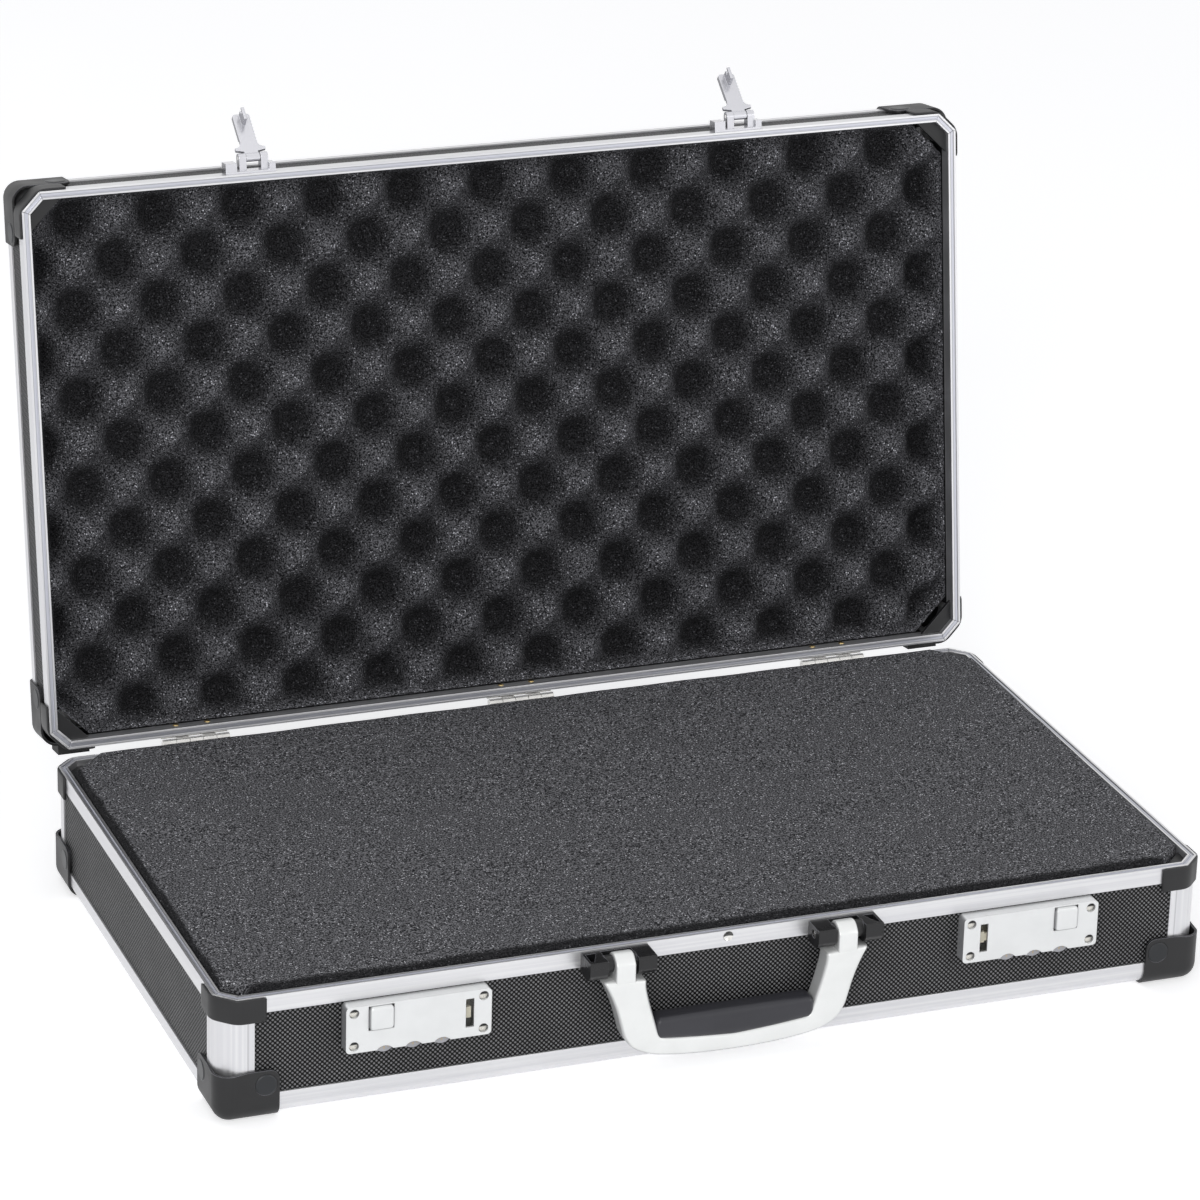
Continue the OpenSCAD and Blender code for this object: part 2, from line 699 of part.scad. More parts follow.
module hinge_rivet_bars(r, b0, b1) for (x = [-hinge_x, 0, hinge_x], e = [-1, 1])
  translate([x + e * hinge_rivet_x, case_d / 2 + b0, hinge_rivet_t]) rotate([-90, 0, 0])
    cylinder(r = r, h = b1 - b0);

module hinge_rivets() for (x = [-hinge_x, 0, hinge_x], e = [-1, 1])
  translate([x + e * hinge_rivet_x, case_d / 2, hinge_rivet_t]) rotate([-90, 0, 0]) {
    translate([0, 0, leaf_t]) cylinder(r1 = 2.4, r2 = 1.8, h = 0.6);
    translate([0, 0, -rim_w - 0.1]) cylinder(r = screw_r, h = rim_w + leaf_t + 0.2);
    translate([0, 0, -rim_w - 0.4]) cylinder(r1 = 1.7, r2 = 2, h = 0.4);
  }

// Knuckles k0, k0 + 2 and so on, at depth t from the half's own rim plane.
module knuckles(k0, t) difference() {
  for (k = [k0:2:4]) translate([-hinge_l / 2 + k * (knuckle_l + knuckle_gap), axis_back, t]) {
    rotate([0, 90, 0]) cylinder(r = knuckle_r, h = knuckle_l);
    children();
  }
  translate([-hinge_l / 2 - 1, axis_back, t]) rotate([0, 90, 0])
    cylinder(r = pin_r + run_gap, h = hinge_l + 2);
}

module leaf(t0) difference() {
  translate([-hinge_l / 2, 0, t0]) cube([hinge_l, leaf_t, leaf_end - t0]);
  for (e = [-1, 1]) translate([e * hinge_rivet_x, -1, hinge_rivet_t]) rotate([-90, 0, 0])
    cylinder(r = screw_r + run_gap, h = leaf_t + 2);
}

module hinge_base_leaves() color("#b9bbbf") on_base() for (x = [-hinge_x, 0, hinge_x])
  translate([x, case_d / 2, 0]) {
    leaf(axis_drop + leaf_gap);
    knuckles(0, axis_drop) translate([0, -axis_back, -0.5])
      cube([knuckle_l, leaf_t + 0.6, leaf_gap + 1]);
  }

module hinge_lid_leaves() color("#b9bbbf") on_lid() for (x = [-hinge_x, 0, hinge_x])
  translate([x, case_d / 2, 0]) {
    leaf(leaf_gap - hinge_t);
    knuckles(1, -hinge_t) translate([0, -web_in, -0.5]) cube([knuckle_l, 1.6, leaf_gap + 1]);
  }

module hinge_pins() color("#9a9ca0") at_origin() for (x = [-hinge_x, 0, hinge_x])
  translate([x - hinge_l / 2, hinge_y, hinge_z]) rotate([0, 90, 0]) cylinder(r = pin_r, h = hinge_l);

module hinge_base_rivets() color("#b08d3c") on_base() hinge_rivets();

module hinge_lid_rivets() color("#b08d3c") on_lid() hinge_rivets();

// Handle

module bracket_screw_bars(r, p0, p1) for (x = [-14.5, 10.4])
  peg(x, -bracket_screw_t, r, p0, p1);

// A profile in the plane across the handle's axis, x is out from the rim and y is up.
module along_x(x0, x1) translate([x0, 0, 0]) rotate([90, 0, 90]) linear_extrude(x1 - x0)
  mirror([1, 0, 0]) children();

ear_edge = 0.8;
ear_over = 0.6;

module ear_profile() difference() {
  union() {
    translate([0, -pivot_drop - 5]) square([pivot_out, pivot_drop + 4]);
    translate([0, -pivot_drop]) square([pivot_out + ear_r - ear_edge, pivot_drop - 1]);
    translate([0, -pivot_drop]) square([pivot_out + ear_r, pivot_drop - 1 - ear_edge]);
    translate([pivot_out + ear_r - ear_edge, -1 - ear_edge]) circle(r = ear_edge);
    translate([pivot_out, -pivot_drop]) intersection() {
      circle(r = ear_r + ear_over);
      translate([-ear_r, -ear_r]) square([2 * ear_r, ear_r]);
    }
  }
  translate([-2 * ear_r, -3 * ear_r]) square([2 * ear_r, 4 * ear_r]);
}

bracket_back = 1.7;

module bracket() {
  x0 = -bracket_w / 2;
  x1 = bracket_w / 2;
  arm0 = x0 + ear_in_w + 1.4;
  arm1 = arm0 + head_w;
  difference() {
    union() {
      box_p(x0, x1, 0, bracket_back, -12, -1);
      along_x(x0, x0 + ear_in_w) ear_profile();
      along_x(x1 - ear_out_w, x1) ear_profile();
      along_x(x0 + ear_in_w - 0.5, arm0 - 0.3) translate([pivot_out, -pivot_drop]) circle(r = 5);
      along_x(arm1 + 0.3, x1 - ear_out_w + 0.5) translate([pivot_out, -pivot_drop]) circle(r = 5);
    }
    along_x(x0 - 1, x1 - ear_out_w + 1.9) translate([pivot_out, -pivot_drop])
      circle(r = pivot_r + run_gap);
    translate([0, 0, -8]) linear_extrude(10) polygon([[x1 - ear_out_w + 3.2, -3], [x1 - 1.5, -3],
      [x1 - 1.5, -pivot_out - ear_r + 3.5], [x1 - 3, -pivot_out - ear_r + 2]]);
    bracket_screw_bars(screw_r + run_gap, -1, 4.6);
  }
}

module handle_bracket_left() color("#1d1d1f") at_front(-bracket_x, true) bracket();

module handle_bracket_right() color("#1d1d1f") at_front(bracket_x, false) bracket();

module handle_bracket_screws() color("#9a9ca0") for (s = [-1, 1])
  at_front(s * bracket_x, s < 0) {
    bracket_screw_bars(screw_r, -rim_w - 0.1, 4.5);
    bracket_screw_bars(2.4, -rim_w - 0.5, -rim_w);
  }

module handle_pins() color("#d9dadc") for (s = [-1, 1]) at_front(s * bracket_x, s < 0)
  along_x(-bracket_w / 2 + 0.8, bracket_w / 2 - ear_out_w + 1.8)
    translate([pivot_out, -pivot_drop]) circle(r = pivot_r);

// The handle hangs down: a frame with two arms and a bowed lower bar, and a grip in it
arm_in = bracket_x - bracket_w / 2 + ear_in_w + 1.4;
arm_out = arm_in + head_w;
frame_p0 = handle_front - frame_t;
bar_low = -handle_drop;

function outer_edge() = [[arm_out, -pivot_drop], [arm_out, -14.3], [arm_out + 7.1, -14.3],
  [arm_out + 2.6, -23], [arm_out - 2.4, -37], [arm_out - 6.4, bar_low + 17],
  [arm_out - 11.4, bar_low + 10], [arm_out - 18.4, bar_low + 6], [arm_out - 32, bar_low + 2.5],
  [20, bar_low + 0.5], [0, bar_low]];

function inner_edge() = [[arm_in, -pivot_drop], [arm_in, -15.7], [arm_in - 6.7, -15.7],
  [arm_in - 7.1, -21.5], [arm_in - 9.8, -32.4], [arm_in - 13.4, grip_top],
  [arm_in - 16.4, bar_low + bar_h + 4.3]];

function seam_edge() = [[22, bar_low + bar_h + 1.5], [0, bar_low + bar_h]];

function flipped(q) = [for (k = [len(q) - 1:-1:0]) [-q[k][0], q[k][1]]];

// The far half of a line that ends in the middle, without its middle point.
function far_half(q) = [for (p = flipped(q)) if (p[0] < -0.01) p];

module handle_frame() color("#d0d2d5") difference() {
  at_front(0, false) union() {
    translate([0, -frame_p0, 0]) rotate([90, 0, 0]) linear_extrude(frame_t) {
      top = concat(inner_edge(), seam_edge());
      polygon(concat(outer_edge(), far_half(outer_edge()), [for (p = top) [-p[0], p[1]]],
        [for (k = [len(top) - 2:-1:0]) top[k]]));
    }
    for (s = [-1, 1]) mirror([s < 0 ? 1 : 0, 0, 0]) along_x(arm_in, arm_out)
      translate([pivot_out, -pivot_drop]) circle(r = head_r);
  }
  at_front(0, false) for (s = [-1, 1]) mirror([s < 0 ? 1 : 0, 0, 0]) along_x(arm_in - 1, arm_out + 1)
    translate([pivot_out, -pivot_drop]) circle(r = pivot_r + run_gap);
}

grip_top = bar_low + bar_h + 4.3 + grip_h;

module handle_grip() color("#19191b") at_front(0, false) intersection() {
  translate([0, 5, 0]) rotate([90, 0, 0]) linear_extrude(30) {
    e = concat([inner_edge()[5], inner_edge()[6]], seam_edge());
    polygon(concat([for (p = e) [-p[0], p[1]]], [for (k = [len(e) - 2:-1:0]) e[k]]));
  }
  along_x(-bracket_x, bracket_x) difference() {
    translate([frame_p0 - 0.8, bar_low]) square([grip_front - frame_p0 + 0.8, grip_top - bar_low]);
    for (m = [0, 1]) translate([m == 0 ? frame_p0 - 0.8 : grip_front, grip_top]) mirror([m, 0])
      difference() {
        translate([-1, -4]) square([5, 5]);
        translate([4, -4]) circle(r = 4);
      }
  }
}

// Locks

module lock_screw_bars(r, p0, p1) for (u = [-screw_u, screw_u], v = [-screw_v, screw_v])
  peg(u, lock_z + v, r, p0, p1);

module lock_slab(w, h, r, p0, p1) translate([0, -p0, lock_z]) rotate([90, 0, 0])
  linear_extrude(p1 - p0) union() {
    square([w - 2 * r, h], center = true);
    square([w, h - 2 * r], center = true);
    for (x = [-1, 1], y = [-1, 1]) translate([x * (w / 2 - r), y * (h / 2 - r)]) circle(r = r);
  }

module lock_housing() difference() {
  union() {
    difference() {
      lock_slab(lock_w, lock_h, lock_r, -skin, lock_out);
      lock_slab(lock_w - 2 * lock_wall, lock_h - 2 * lock_wall, lock_r - lock_wall + 0.2,
        -2 * skin, lock_out - lock_wall);
    }
    intersection() {
      lock_screw_bars(3.2, -plate_y, lock_out - 0.5);
      lock_slab(lock_w - 0.6, lock_h - 0.6, lock_r, -2 * skin, lock_out - 0.5);
    }
    box_p(dial_u - ridge_w / 2, dial_u + ridge_w / 2, -skin, dial_back - slide_gap,
      lock_low - ridge_h, lock_low + 0.5);
    difference() {
      for (k = [-1, 0, 1]) peg(dial_u + k * dial_pitch, dial_z, boss_r, -skin,
        dial_back - slide_gap);
      box_p(-lock_w, lock_w, -3 * skin, lock_out, lock_low + 1, 0);
    }
  }
  box_p(-slot_u - slot_w / 2, -slot_u + slot_w / 2, lock_out - 2 * lock_wall, lock_out + 1,
    slot_top - slot_h, slot_top);
  box_p(button_u - button_w / 2 - slide_gap, button_u + button_w / 2 + slide_gap, plate_y + 0.5,
    lock_out + 1, button_z - button_w / 2 - slide_gap, button_z + button_w / 2 + slide_gap);
  lock_screw_bars(screw_head + 0.3, lock_out - screw_sink, lock_out + 1);
  lock_screw_bars(screw_r + run_gap, -2 * skin, lock_out + 1);
  for (k = [-1, 0, 1]) {
    peg(dial_u + k * dial_pitch, dial_z, dial_r + dial_room, dial_back - slide_gap,
      dial_front + slide_gap);
    peg(dial_u + k * dial_pitch, lock_low - dial_up, dial_r + 0.1, dial_front, lock_out + 1);
  }
}

module lock_backplate() difference() {
  union() {
    lock_slab(lock_w - 2 * lock_wall - 0.4, lock_h - 2 * lock_wall - 0.4, lock_r - lock_wall + 0.2,
      -skin, -plate_y);
    difference() {
      box_p(-20, 0, -plate_y - 0.1, catch_p1 - 0.2, slider_z0 - 1.1, slider_z1 + 1.1);
      box_p(-21, 1, catch_p0 - slide_gap, catch_p1 + 1, slider_z0 - slide_gap,
        slider_z1 + slide_gap);
    }
  }
  lock_screw_bars(screw_r + run_gap, -2 * skin, 1);
}

bevel = 0.8;

module button_side() linear_extrude(4 * lock_h, center = true) {
  w = button_w / 2;
  top = -lock_out - button_out;
  polygon([[-w, flange_t - button_back], [-w, top + bevel], [bevel - w, top], [w - bevel, top],
    [w, top + bevel], [w, flange_t - button_back]]);
}

module button_shape() intersection() {
  translate([button_u, 0, 0]) button_side();
  translate([0, 0, button_z]) rotate([0, 90, 0]) button_side();
}

module lock_button() {
  button_shape();
  box_p(button_u - button_w / 2 - 1.5, button_u + button_w / 2 + 1.5, button_back - flange_t,
    button_back, button_z - 5, button_z + 5);
  peg(button_u, button_z, 1.8, button_back - flange_t - 1.9, button_back - 0.5);
}

module lock_catch() {
  box_p(-slot_u - catch_w / 2, -slot_u + catch_w / 2, catch_p0, catch_p1, catch_z0, catch_z1);
  box_p(-slot_u, slider_end, catch_p0, catch_p1, slider_z0, slider_z1);
}

module lock_dial(k) difference() {
  peg(dial_u + (k - 2) * dial_pitch, dial_z, dial_r, dial_back, dial_front);
  peg(dial_u + (k - 2) * dial_pitch, dial_z, axle_r + run_gap, 0, lock_out);
}

module lock_left_housing() color("#cfd1d5") at_front(-lock_x, true) lock_housing();

module lock_right_housing() color("#cfd1d5") at_front(lock_x, false) lock_housing();

module lock_left_backplate() color("#8f9195") at_front(-lock_x, true) lock_backplate();

module lock_right_backplate() color("#8f9195") at_front(lock_x, false) lock_backplate();

module lock_left_button() color("#d9dbdf") at_front(-lock_x, true) lock_button();

module lock_right_button() color("#d9dbdf") at_front(lock_x, false) lock_button();

module lock_left_catch() color("#d8d3bd") at_front(-lock_x, true) lock_catch();

module lock_right_catch() color("#d8d3bd") at_front(lock_x, false) lock_catch();

module lock_left_dial(k) color("#8d8b96") at_front(-lock_x, true) lock_dial(k);

module lock_right_dial(k) color("#8d8b96") at_front(lock_x, false) lock_dial(k);

module lock_screws() color("#bcbdbf") for (s = [-1, 1]) at_front(s * lock_x, s < 0) {
  lock_screw_bars(screw_head, lock_out - screw_sink, lock_out - screw_sink + screw_head_t);
  lock_screw_bars(screw_r, -rim_w + lip - 0.1, lock_out - screw_sink + 0.1);
  lock_screw_bars(nut_r, -rim_w + lip - nut_t, -rim_w + lip);
}

module dial_axles() color("#9a9ca0") for (s = [-1, 1], k = [-1, 0, 1])
  at_front(s * lock_x, s < 0) {
    peg(dial_u + k * dial_pitch, dial_z, axle_r, -plate_y, dial_front + slide_gap);
    peg(dial_u + k * dial_pitch, dial_z, 2 * axle_r, -plate_y, dial_back - slide_gap);
  }

module button_springs() color("#9a9ca0") for (s = [-1, 1]) at_front(s * lock_x, s < 0)
  difference() {
    peg(button_u, button_z, 3, -plate_y, button_back - flange_t - button_travel - 0.1);
    peg(button_u, button_z, 2.2, -1, lock_out);
  }

// Latch hasps, drawn shut in front of the lid's rim and turned open about their pins

module hasp_rivet_bars(r, b0, b1) for (s = [-1, 1], x = [-14.5, 11])
  translate([s * hasp_x + x, -case_d / 2 - b1, 5]) rotate([-90, 0, 0]) cylinder(r = r, h = b1 - b0);

// Front of the lid: y is 0 on the rim's front, z is 0 on the lid's rim plane.
module at_lid_front(s) on_lid() translate([s * hasp_x, -case_d / 2, 0]) children();

module hasp_bracket() difference() {
  union() {
    box_p(-18, 13, 0, 1.5, 0.6, 9.4);
    box_p(-18, -11, 0, 6.7, 0.8, 9.2);
    box_p(9, 13, 0, 5.5, 0.8, 9.2);
    for (e = [-1, 1]) along_x(e < 0 ? -ear_gap / 2 - hasp_ear_w : ear_gap / 2,
      e < 0 ? -ear_gap / 2 : ear_gap / 2 + hasp_ear_w) {
      translate([0, hasp_up - hasp_ear_r]) square([hasp_out, 2 * hasp_ear_r]);
      translate([hasp_out, hasp_up]) circle(r = hasp_ear_r);
    }
  }
  along_x(-ear_gap / 2 - hasp_ear_w - 0.5, ear_gap / 2 + hasp_ear_w + 0.5)
    translate([hasp_out, hasp_up]) circle(r = pin_h + run_gap);
  for (x = [-14.5, 11]) peg(x, 5, pin_h + run_gap, -1, 4);
}

module hasp_left_bracket() color("#cdcfd3") at_lid_front(-1) hasp_bracket();

module hasp_right_bracket() color("#cdcfd3") at_lid_front(1) hasp_bracket();

module hasp_pins() color("#b9bbbf") for (s = [-1, 1]) at_lid_front(s)
  along_x(-ear_gap / 2 - hasp_ear_w, ear_gap / 2 + hasp_ear_w)
    translate([hasp_out, hasp_up]) circle(r = pin_h);

module hasp_rivets() color("#9a9ca0") for (s = [-1, 1]) at_lid_front(s)
  for (x = [-14.5, 11]) {
    peg(x, 5, pin_h, -rim_w - 0.1, 3.9);
    peg(x, 5, 2, -rim_w - 0.4, -rim_w);
  }

module hasp_turn() translate([0, -hasp_out, hasp_up]) rotate([-hasp_open, 0, 0])
  translate([0, hasp_out, -hasp_up]) children();

module hasp() {
  h = barrel_w / 2;
  f = hasp_up - fin_top;
  tip = hasp_up - hasp_l;
  difference() {
    union() {
      along_x(-h, h) translate([hasp_out, hasp_up]) circle(r = barrel_r);
      translate([0, -plate_p0, hasp_up]) rotate([90, 0, 0]) linear_extrude(hasp_t)
        polygon(concat([[-h, -1], [-h, -3.6], [-hasp_w / 2, -4.6], [-hasp_w / 2, -6.5]],
          [for (a = [15:15:90]) [-hook_w / 2 - (hasp_w - hook_w) / 2 * (1 - sin(a)),
            -6.5 - 3.5 * (1 - cos(a))]],
          [[-hook_w / 2, 1 - hasp_l], [1 - hook_w / 2, -hasp_l], [hook_w / 2 - 1, -hasp_l],
            [hook_w / 2, 1 - hasp_l]],
          [for (a = [90:-15:15]) [hook_w / 2 + (hasp_w - hook_w) / 2 * (1 - sin(a)),
            -6.5 - 3.5 * (1 - cos(a))]],
          [[hasp_w / 2, -6.5], [hasp_w / 2, -4.6], [h, -3.6], [h, -1]]));
      box_p(-hook_w / 2, hook_w / 2, plate_p1 - 0.1, plate_p1 + 0.9, hasp_up - 14,
        hasp_up - 12.8);
      for (e = [-1, 1]) box_p(e < 0 ? -hook_w / 2 : hook_w / 2 - 1.3, e < 0 ? 1.3 - hook_w / 2
        : hook_w / 2, plate_p1 - 0.1, plate_p1 + 1.1, tip + 1, hasp_up - 13.4);
      box_p(-fin_t / 2, fin_t / 2, fin_p0, plate_p0 + 0.1, tip, f);
    }
    along_x(-h - 1, h + 1) translate([hasp_out, hasp_up]) circle(r = pin_h + run_gap);
    box_p(-fin_t, fin_t, notch_p0, notch_p1, tip - 1, hasp_up - notch_s);
  }
}

module hasp_left() color("#d6d8dc") at_lid_front(-1) hasp_turn() hasp();

module hasp_right() color("#d6d8dc") at_lid_front(1) hasp_turn() hasp();

base_bottom_panel();
base_front_panel();
base_rear_panel();
base_side_panels();
base_rim();
base_edge_rails();
base_corner_posts();
base_corner_caps();
base_corner_rivets();
base_rim_clips();
base_corner_gussets();
base_foam();
base_rear_feet();
front_stud();
handle_bracket_left();
handle_bracket_right();
handle_bracket_screws();
handle_pins();
handle_frame();
handle_grip();
lock_left_housing();
lock_left_backplate();
lock_left_button();
lock_left_catch();
lock_left_dial(1);  // lock_left_dial_1
lock_left_dial(2);  // lock_left_dial_2
lock_left_dial(3);  // lock_left_dial_3
lock_right_housing();
lock_right_backplate();
lock_right_button();
lock_right_catch();
lock_right_dial(1);  // lock_right_dial_1
lock_right_dial(2);  // lock_right_dial_2
lock_right_dial(3);  // lock_right_dial_3
lock_screws();
dial_axles();
button_springs();
hinge_base_leaves();
hinge_lid_leaves();
hinge_pins();
hinge_base_rivets();
hinge_lid_rivets();
lid_top_panel();
lid_wall_panels();
lid_rim();
lid_edge_rails();
lid_corner_posts();
lid_corner_caps();
lid_corner_rivets();
lid_rim_clips();
lid_corner_gussets();
lid_foam();
lid_rear_feet();
hasp_left_bracket();
hasp_right_bracket();
hasp_left();
hasp_right();
hasp_pins();
hasp_rivets();
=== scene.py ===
import math

import bpy
import numpy as np
from mathutils import Matrix


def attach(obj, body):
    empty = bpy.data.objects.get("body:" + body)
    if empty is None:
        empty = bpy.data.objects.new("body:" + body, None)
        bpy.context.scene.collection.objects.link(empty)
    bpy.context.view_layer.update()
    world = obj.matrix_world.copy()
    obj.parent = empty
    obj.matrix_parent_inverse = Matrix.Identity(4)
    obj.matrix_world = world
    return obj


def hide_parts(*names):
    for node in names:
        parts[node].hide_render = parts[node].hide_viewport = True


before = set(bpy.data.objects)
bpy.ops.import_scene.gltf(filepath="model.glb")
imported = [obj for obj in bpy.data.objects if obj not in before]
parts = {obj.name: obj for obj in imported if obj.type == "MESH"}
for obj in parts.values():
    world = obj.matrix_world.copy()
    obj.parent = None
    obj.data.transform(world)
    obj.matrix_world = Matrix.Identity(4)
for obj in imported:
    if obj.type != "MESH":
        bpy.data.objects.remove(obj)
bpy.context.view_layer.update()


# Camera: fitted to the corners of the two rims in the photograph, a long lens
# from the front left and above, turned a little about its own axis.
camera_place = (-1.03271, -2.64298, 1.35560)
camera_azimuth, camera_height, camera_roll = -0.3723, 0.3886, 0.0290
camera_lens, camera_sensor = 155.76, 36
camera_near, camera_far = 0.05, 50


def turned_axes(azimuth, height, roll):
    """The camera's right, up and back directions: back points from the object to the
    camera, right lies level before the roll, and the roll turns right and up about back."""
    back = np.array([math.sin(azimuth) * math.cos(height),
                     -math.cos(azimuth) * math.cos(height), math.sin(height)])
    level = np.cross(-back, [0, 0, 1])
    level = level / np.linalg.norm(level)
    upright = np.cross(level, -back)
    right = math.cos(roll) * level + math.sin(roll) * upright
    up = -math.sin(roll) * level + math.cos(roll) * upright
    return right, up, back


def set_up(name, data, place, axes):
    """A camera or a lamp at its place, with its own x, y and z along the three axes."""
    made = bpy.data.objects.new(name, data)
    bpy.context.scene.collection.objects.link(made)
    rows = [[axis[k] for axis in axes] + [place[k]] for k in range(3)]
    made.matrix_world = Matrix(rows + [[0, 0, 0, 1]])
    return made


camera = set_up("camera", bpy.data.cameras.new("camera"), camera_place,
                turned_axes(camera_azimuth, camera_height, camera_roll))
camera.data.sensor_width = camera_sensor
camera.data.lens = camera_lens
camera.data.clip_start, camera.data.clip_end = camera_near, camera_far
bpy.context.scene.camera = camera


# Studio: a pale floor that glows a little for the camera and in reflections, a large soft
# key lamp from the front, two weaker lamps and an even world that the camera sees as white.
world_level, world_colour = 0.46, (0.97, 0.98, 1.0, 1)
floor_colour = (0.86, 0.86, 0.87)
floor_lift = 0.50
floor_radii = (0.0, 0.6, 1.5, 3.0, 7.0)
lamps = {
    "key_lamp": ((-1.7, -3.0, 1.6), (0.0, 0.0, 0.15), 1.8, 56.0),
    "fill_lamp": ((2.3, -2.5, 1.1), (0.0, 0.0, 0.15), 1.8, 17.0),
    "top_lamp": ((-0.5, 0.5, 3.0), (0.0, 0.0, 0.1), 2.0, 9.0),
}
white = (1, 1, 1, 1)
merge_digits = 8


def add_node(tree, kind, inputs=None, **settings):
    """Adds a shader node with these settings. An input is linked where it is given as
    another node's output, and otherwise set to the number, vector or colour given."""
    made = tree.nodes.new("ShaderNode" + kind)
    for key, value in settings.items():
        setattr(made, key, value)
    for key, value in (inputs or {}).items():
        if isinstance(value, bpy.types.NodeSocket):
            tree.links.new(value, made.inputs[key])
        else:
            made.inputs[key].default_value = value
    return made


def calc(tree, operation, a, b=0.0):
    """One sum on two numbers or outputs."""
    return add_node(tree, "Math", {0: a, 1: b}, operation=operation).outputs[0]


def own_point(tree):
    """The surface's point in the object's own coordinates, in metres."""
    return add_node(tree, "TexCoord").outputs["Object"]


def noise(tree, point, scale, detail):
    """Smooth random light and dark from 0 to 1, with scale waves to the metre."""
    return add_node(tree, "TexNoise", {"Vector": point, "Scale": scale, "Detail": detail}).outputs[0]


def shades(tree, share, first, second):
    """The mix of two colours by a share from 0 to 1."""
    return add_node(tree, "MixRGB", {0: share, 1: first, 2: second}).outputs[0]


def dimmed(colour, factor):
    """A colour times a factor."""
    return (*(factor * c for c in colour[:3]), 1)


def grid_piece(name, *grids):
    """A mesh object from grids of points (rows, columns, 3). Each cell is two triangles
    between (i, j), (i, j+1), (i+1, j+1) and (i+1, j). Points that fall together are merged,
    and where the volume inside a grid comes out negative its faces are turned round."""
    corners, triangles, start = [], [], 0
    for grid in grids:
        rows, columns = grid.shape[:2]
        index = np.arange(rows * columns).reshape(rows, columns)
        cells = np.stack([index[:-1, :-1], index[:-1, 1:], index[1:, 1:], index[1:, :-1]], -1)
        cells = cells.reshape(-1, 4)
        split = np.concatenate([cells[:, [0, 1, 2]], cells[:, [0, 2, 3]]])
        flat = grid.reshape(-1, 3)
        a, b, c = (flat[split[:, k]] for k in range(3))
        if np.sum(a * np.cross(b, c)) < 0:
            split = split[:, ::-1]
        corners.append(flat)
        triangles.append(split + start)
        start += len(flat)
    near_points = np.round(np.concatenate(corners), merge_digits)
    points, inverse = np.unique(near_points, axis=0, return_inverse=True)
    faces = inverse.reshape(-1)[np.concatenate(triangles)]
    first, second, third = faces.T
    whole = (first != second) & (second != third) & (third != first)
    mesh = bpy.data.meshes.new(name)
    mesh.from_pydata(points.tolist(), [], faces[whole].tolist())
    mesh.polygons.foreach_set("use_smooth", np.ones(len(mesh.polygons), bool))
    mesh.update()
    made = bpy.data.objects.new(name, mesh)
    bpy.context.scene.collection.objects.link(made)
    return made


bpy.context.scene.view_settings.view_transform = "Standard"
world = bpy.data.worlds.new("studio")
bpy.context.scene.world = world
world.use_nodes = True
world_tree = world.node_tree
world_tree.nodes.clear()
rays = add_node(world_tree, "LightPath").outputs
shown = calc(world_tree, "MAXIMUM", rays["Is Camera Ray"], rays["Is Transmission Ray"])
shown = calc(world_tree, "MAXIMUM", shown, rays["Is Glossy Ray"])
dim_sky = add_node(world_tree, "Background", {"Color": world_colour, "Strength": world_level})
white_sky = add_node(world_tree, "Background", {"Color": white, "Strength": 1.0})
sky = add_node(world_tree, "MixShader", {0: shown, 1: dim_sky.outputs[0], 2: white_sky.outputs[0]})
add_node(world_tree, "OutputWorld", {"Surface": sky.outputs[0]})

for lamp_name, (lamp_place, lamp_target, lamp_width, lamp_power) in lamps.items():
    aim = np.array(lamp_target) - np.array(lamp_place)
    lamp_azimuth = math.atan2(-aim[0], aim[1])
    lamp_rise = math.atan2(-aim[2], math.hypot(aim[0], aim[1]))
    lamp = set_up(lamp_name, bpy.data.lights.new(lamp_name, "AREA"), lamp_place,
                  turned_axes(lamp_azimuth, lamp_rise, 0))
    lamp.data.shape = "DISK"
    lamp.data.size = lamp_width
    lamp.data.energy = lamp_power

ring_angles = np.linspace(0, 2 * math.pi, 73)
ring_radii = np.array(floor_radii)[:, None]
floor_rings = np.stack([ring_radii * np.cos(ring_angles), ring_radii * np.sin(ring_angles),
                        0 * ring_radii * ring_angles], axis=-1)
floor = grid_piece("studio_floor", floor_rings)
floor_finish = bpy.data.materials.new("pale_floor")
floor_finish.use_nodes = True
floor_tree = floor_finish.node_tree
floor_tree.nodes.clear()
floor_tint = shades(floor_tree, noise(floor_tree, own_point(floor_tree), 3.0, 2.0),
                    (*floor_colour, 1), dimmed(floor_colour, 0.985))
floor_rays = add_node(floor_tree, "LightPath").outputs
floor_seen = calc(floor_tree, "MAXIMUM", floor_rays["Is Camera Ray"], floor_rays["Is Glossy Ray"])
floor_matt = add_node(floor_tree, "BsdfDiffuse", {"Color": floor_tint})
glow_level = calc(floor_tree, "MULTIPLY", floor_seen, floor_lift)
floor_glow = add_node(floor_tree, "Emission", {"Color": white, "Strength": glow_level})
floor_sum = add_node(floor_tree, "AddShader", {0: floor_matt.outputs[0], 1: floor_glow.outputs[0]})
add_node(floor_tree, "OutputMaterial", {"Surface": floor_sum.outputs[0]})
floor.data.materials.append(floor_finish)


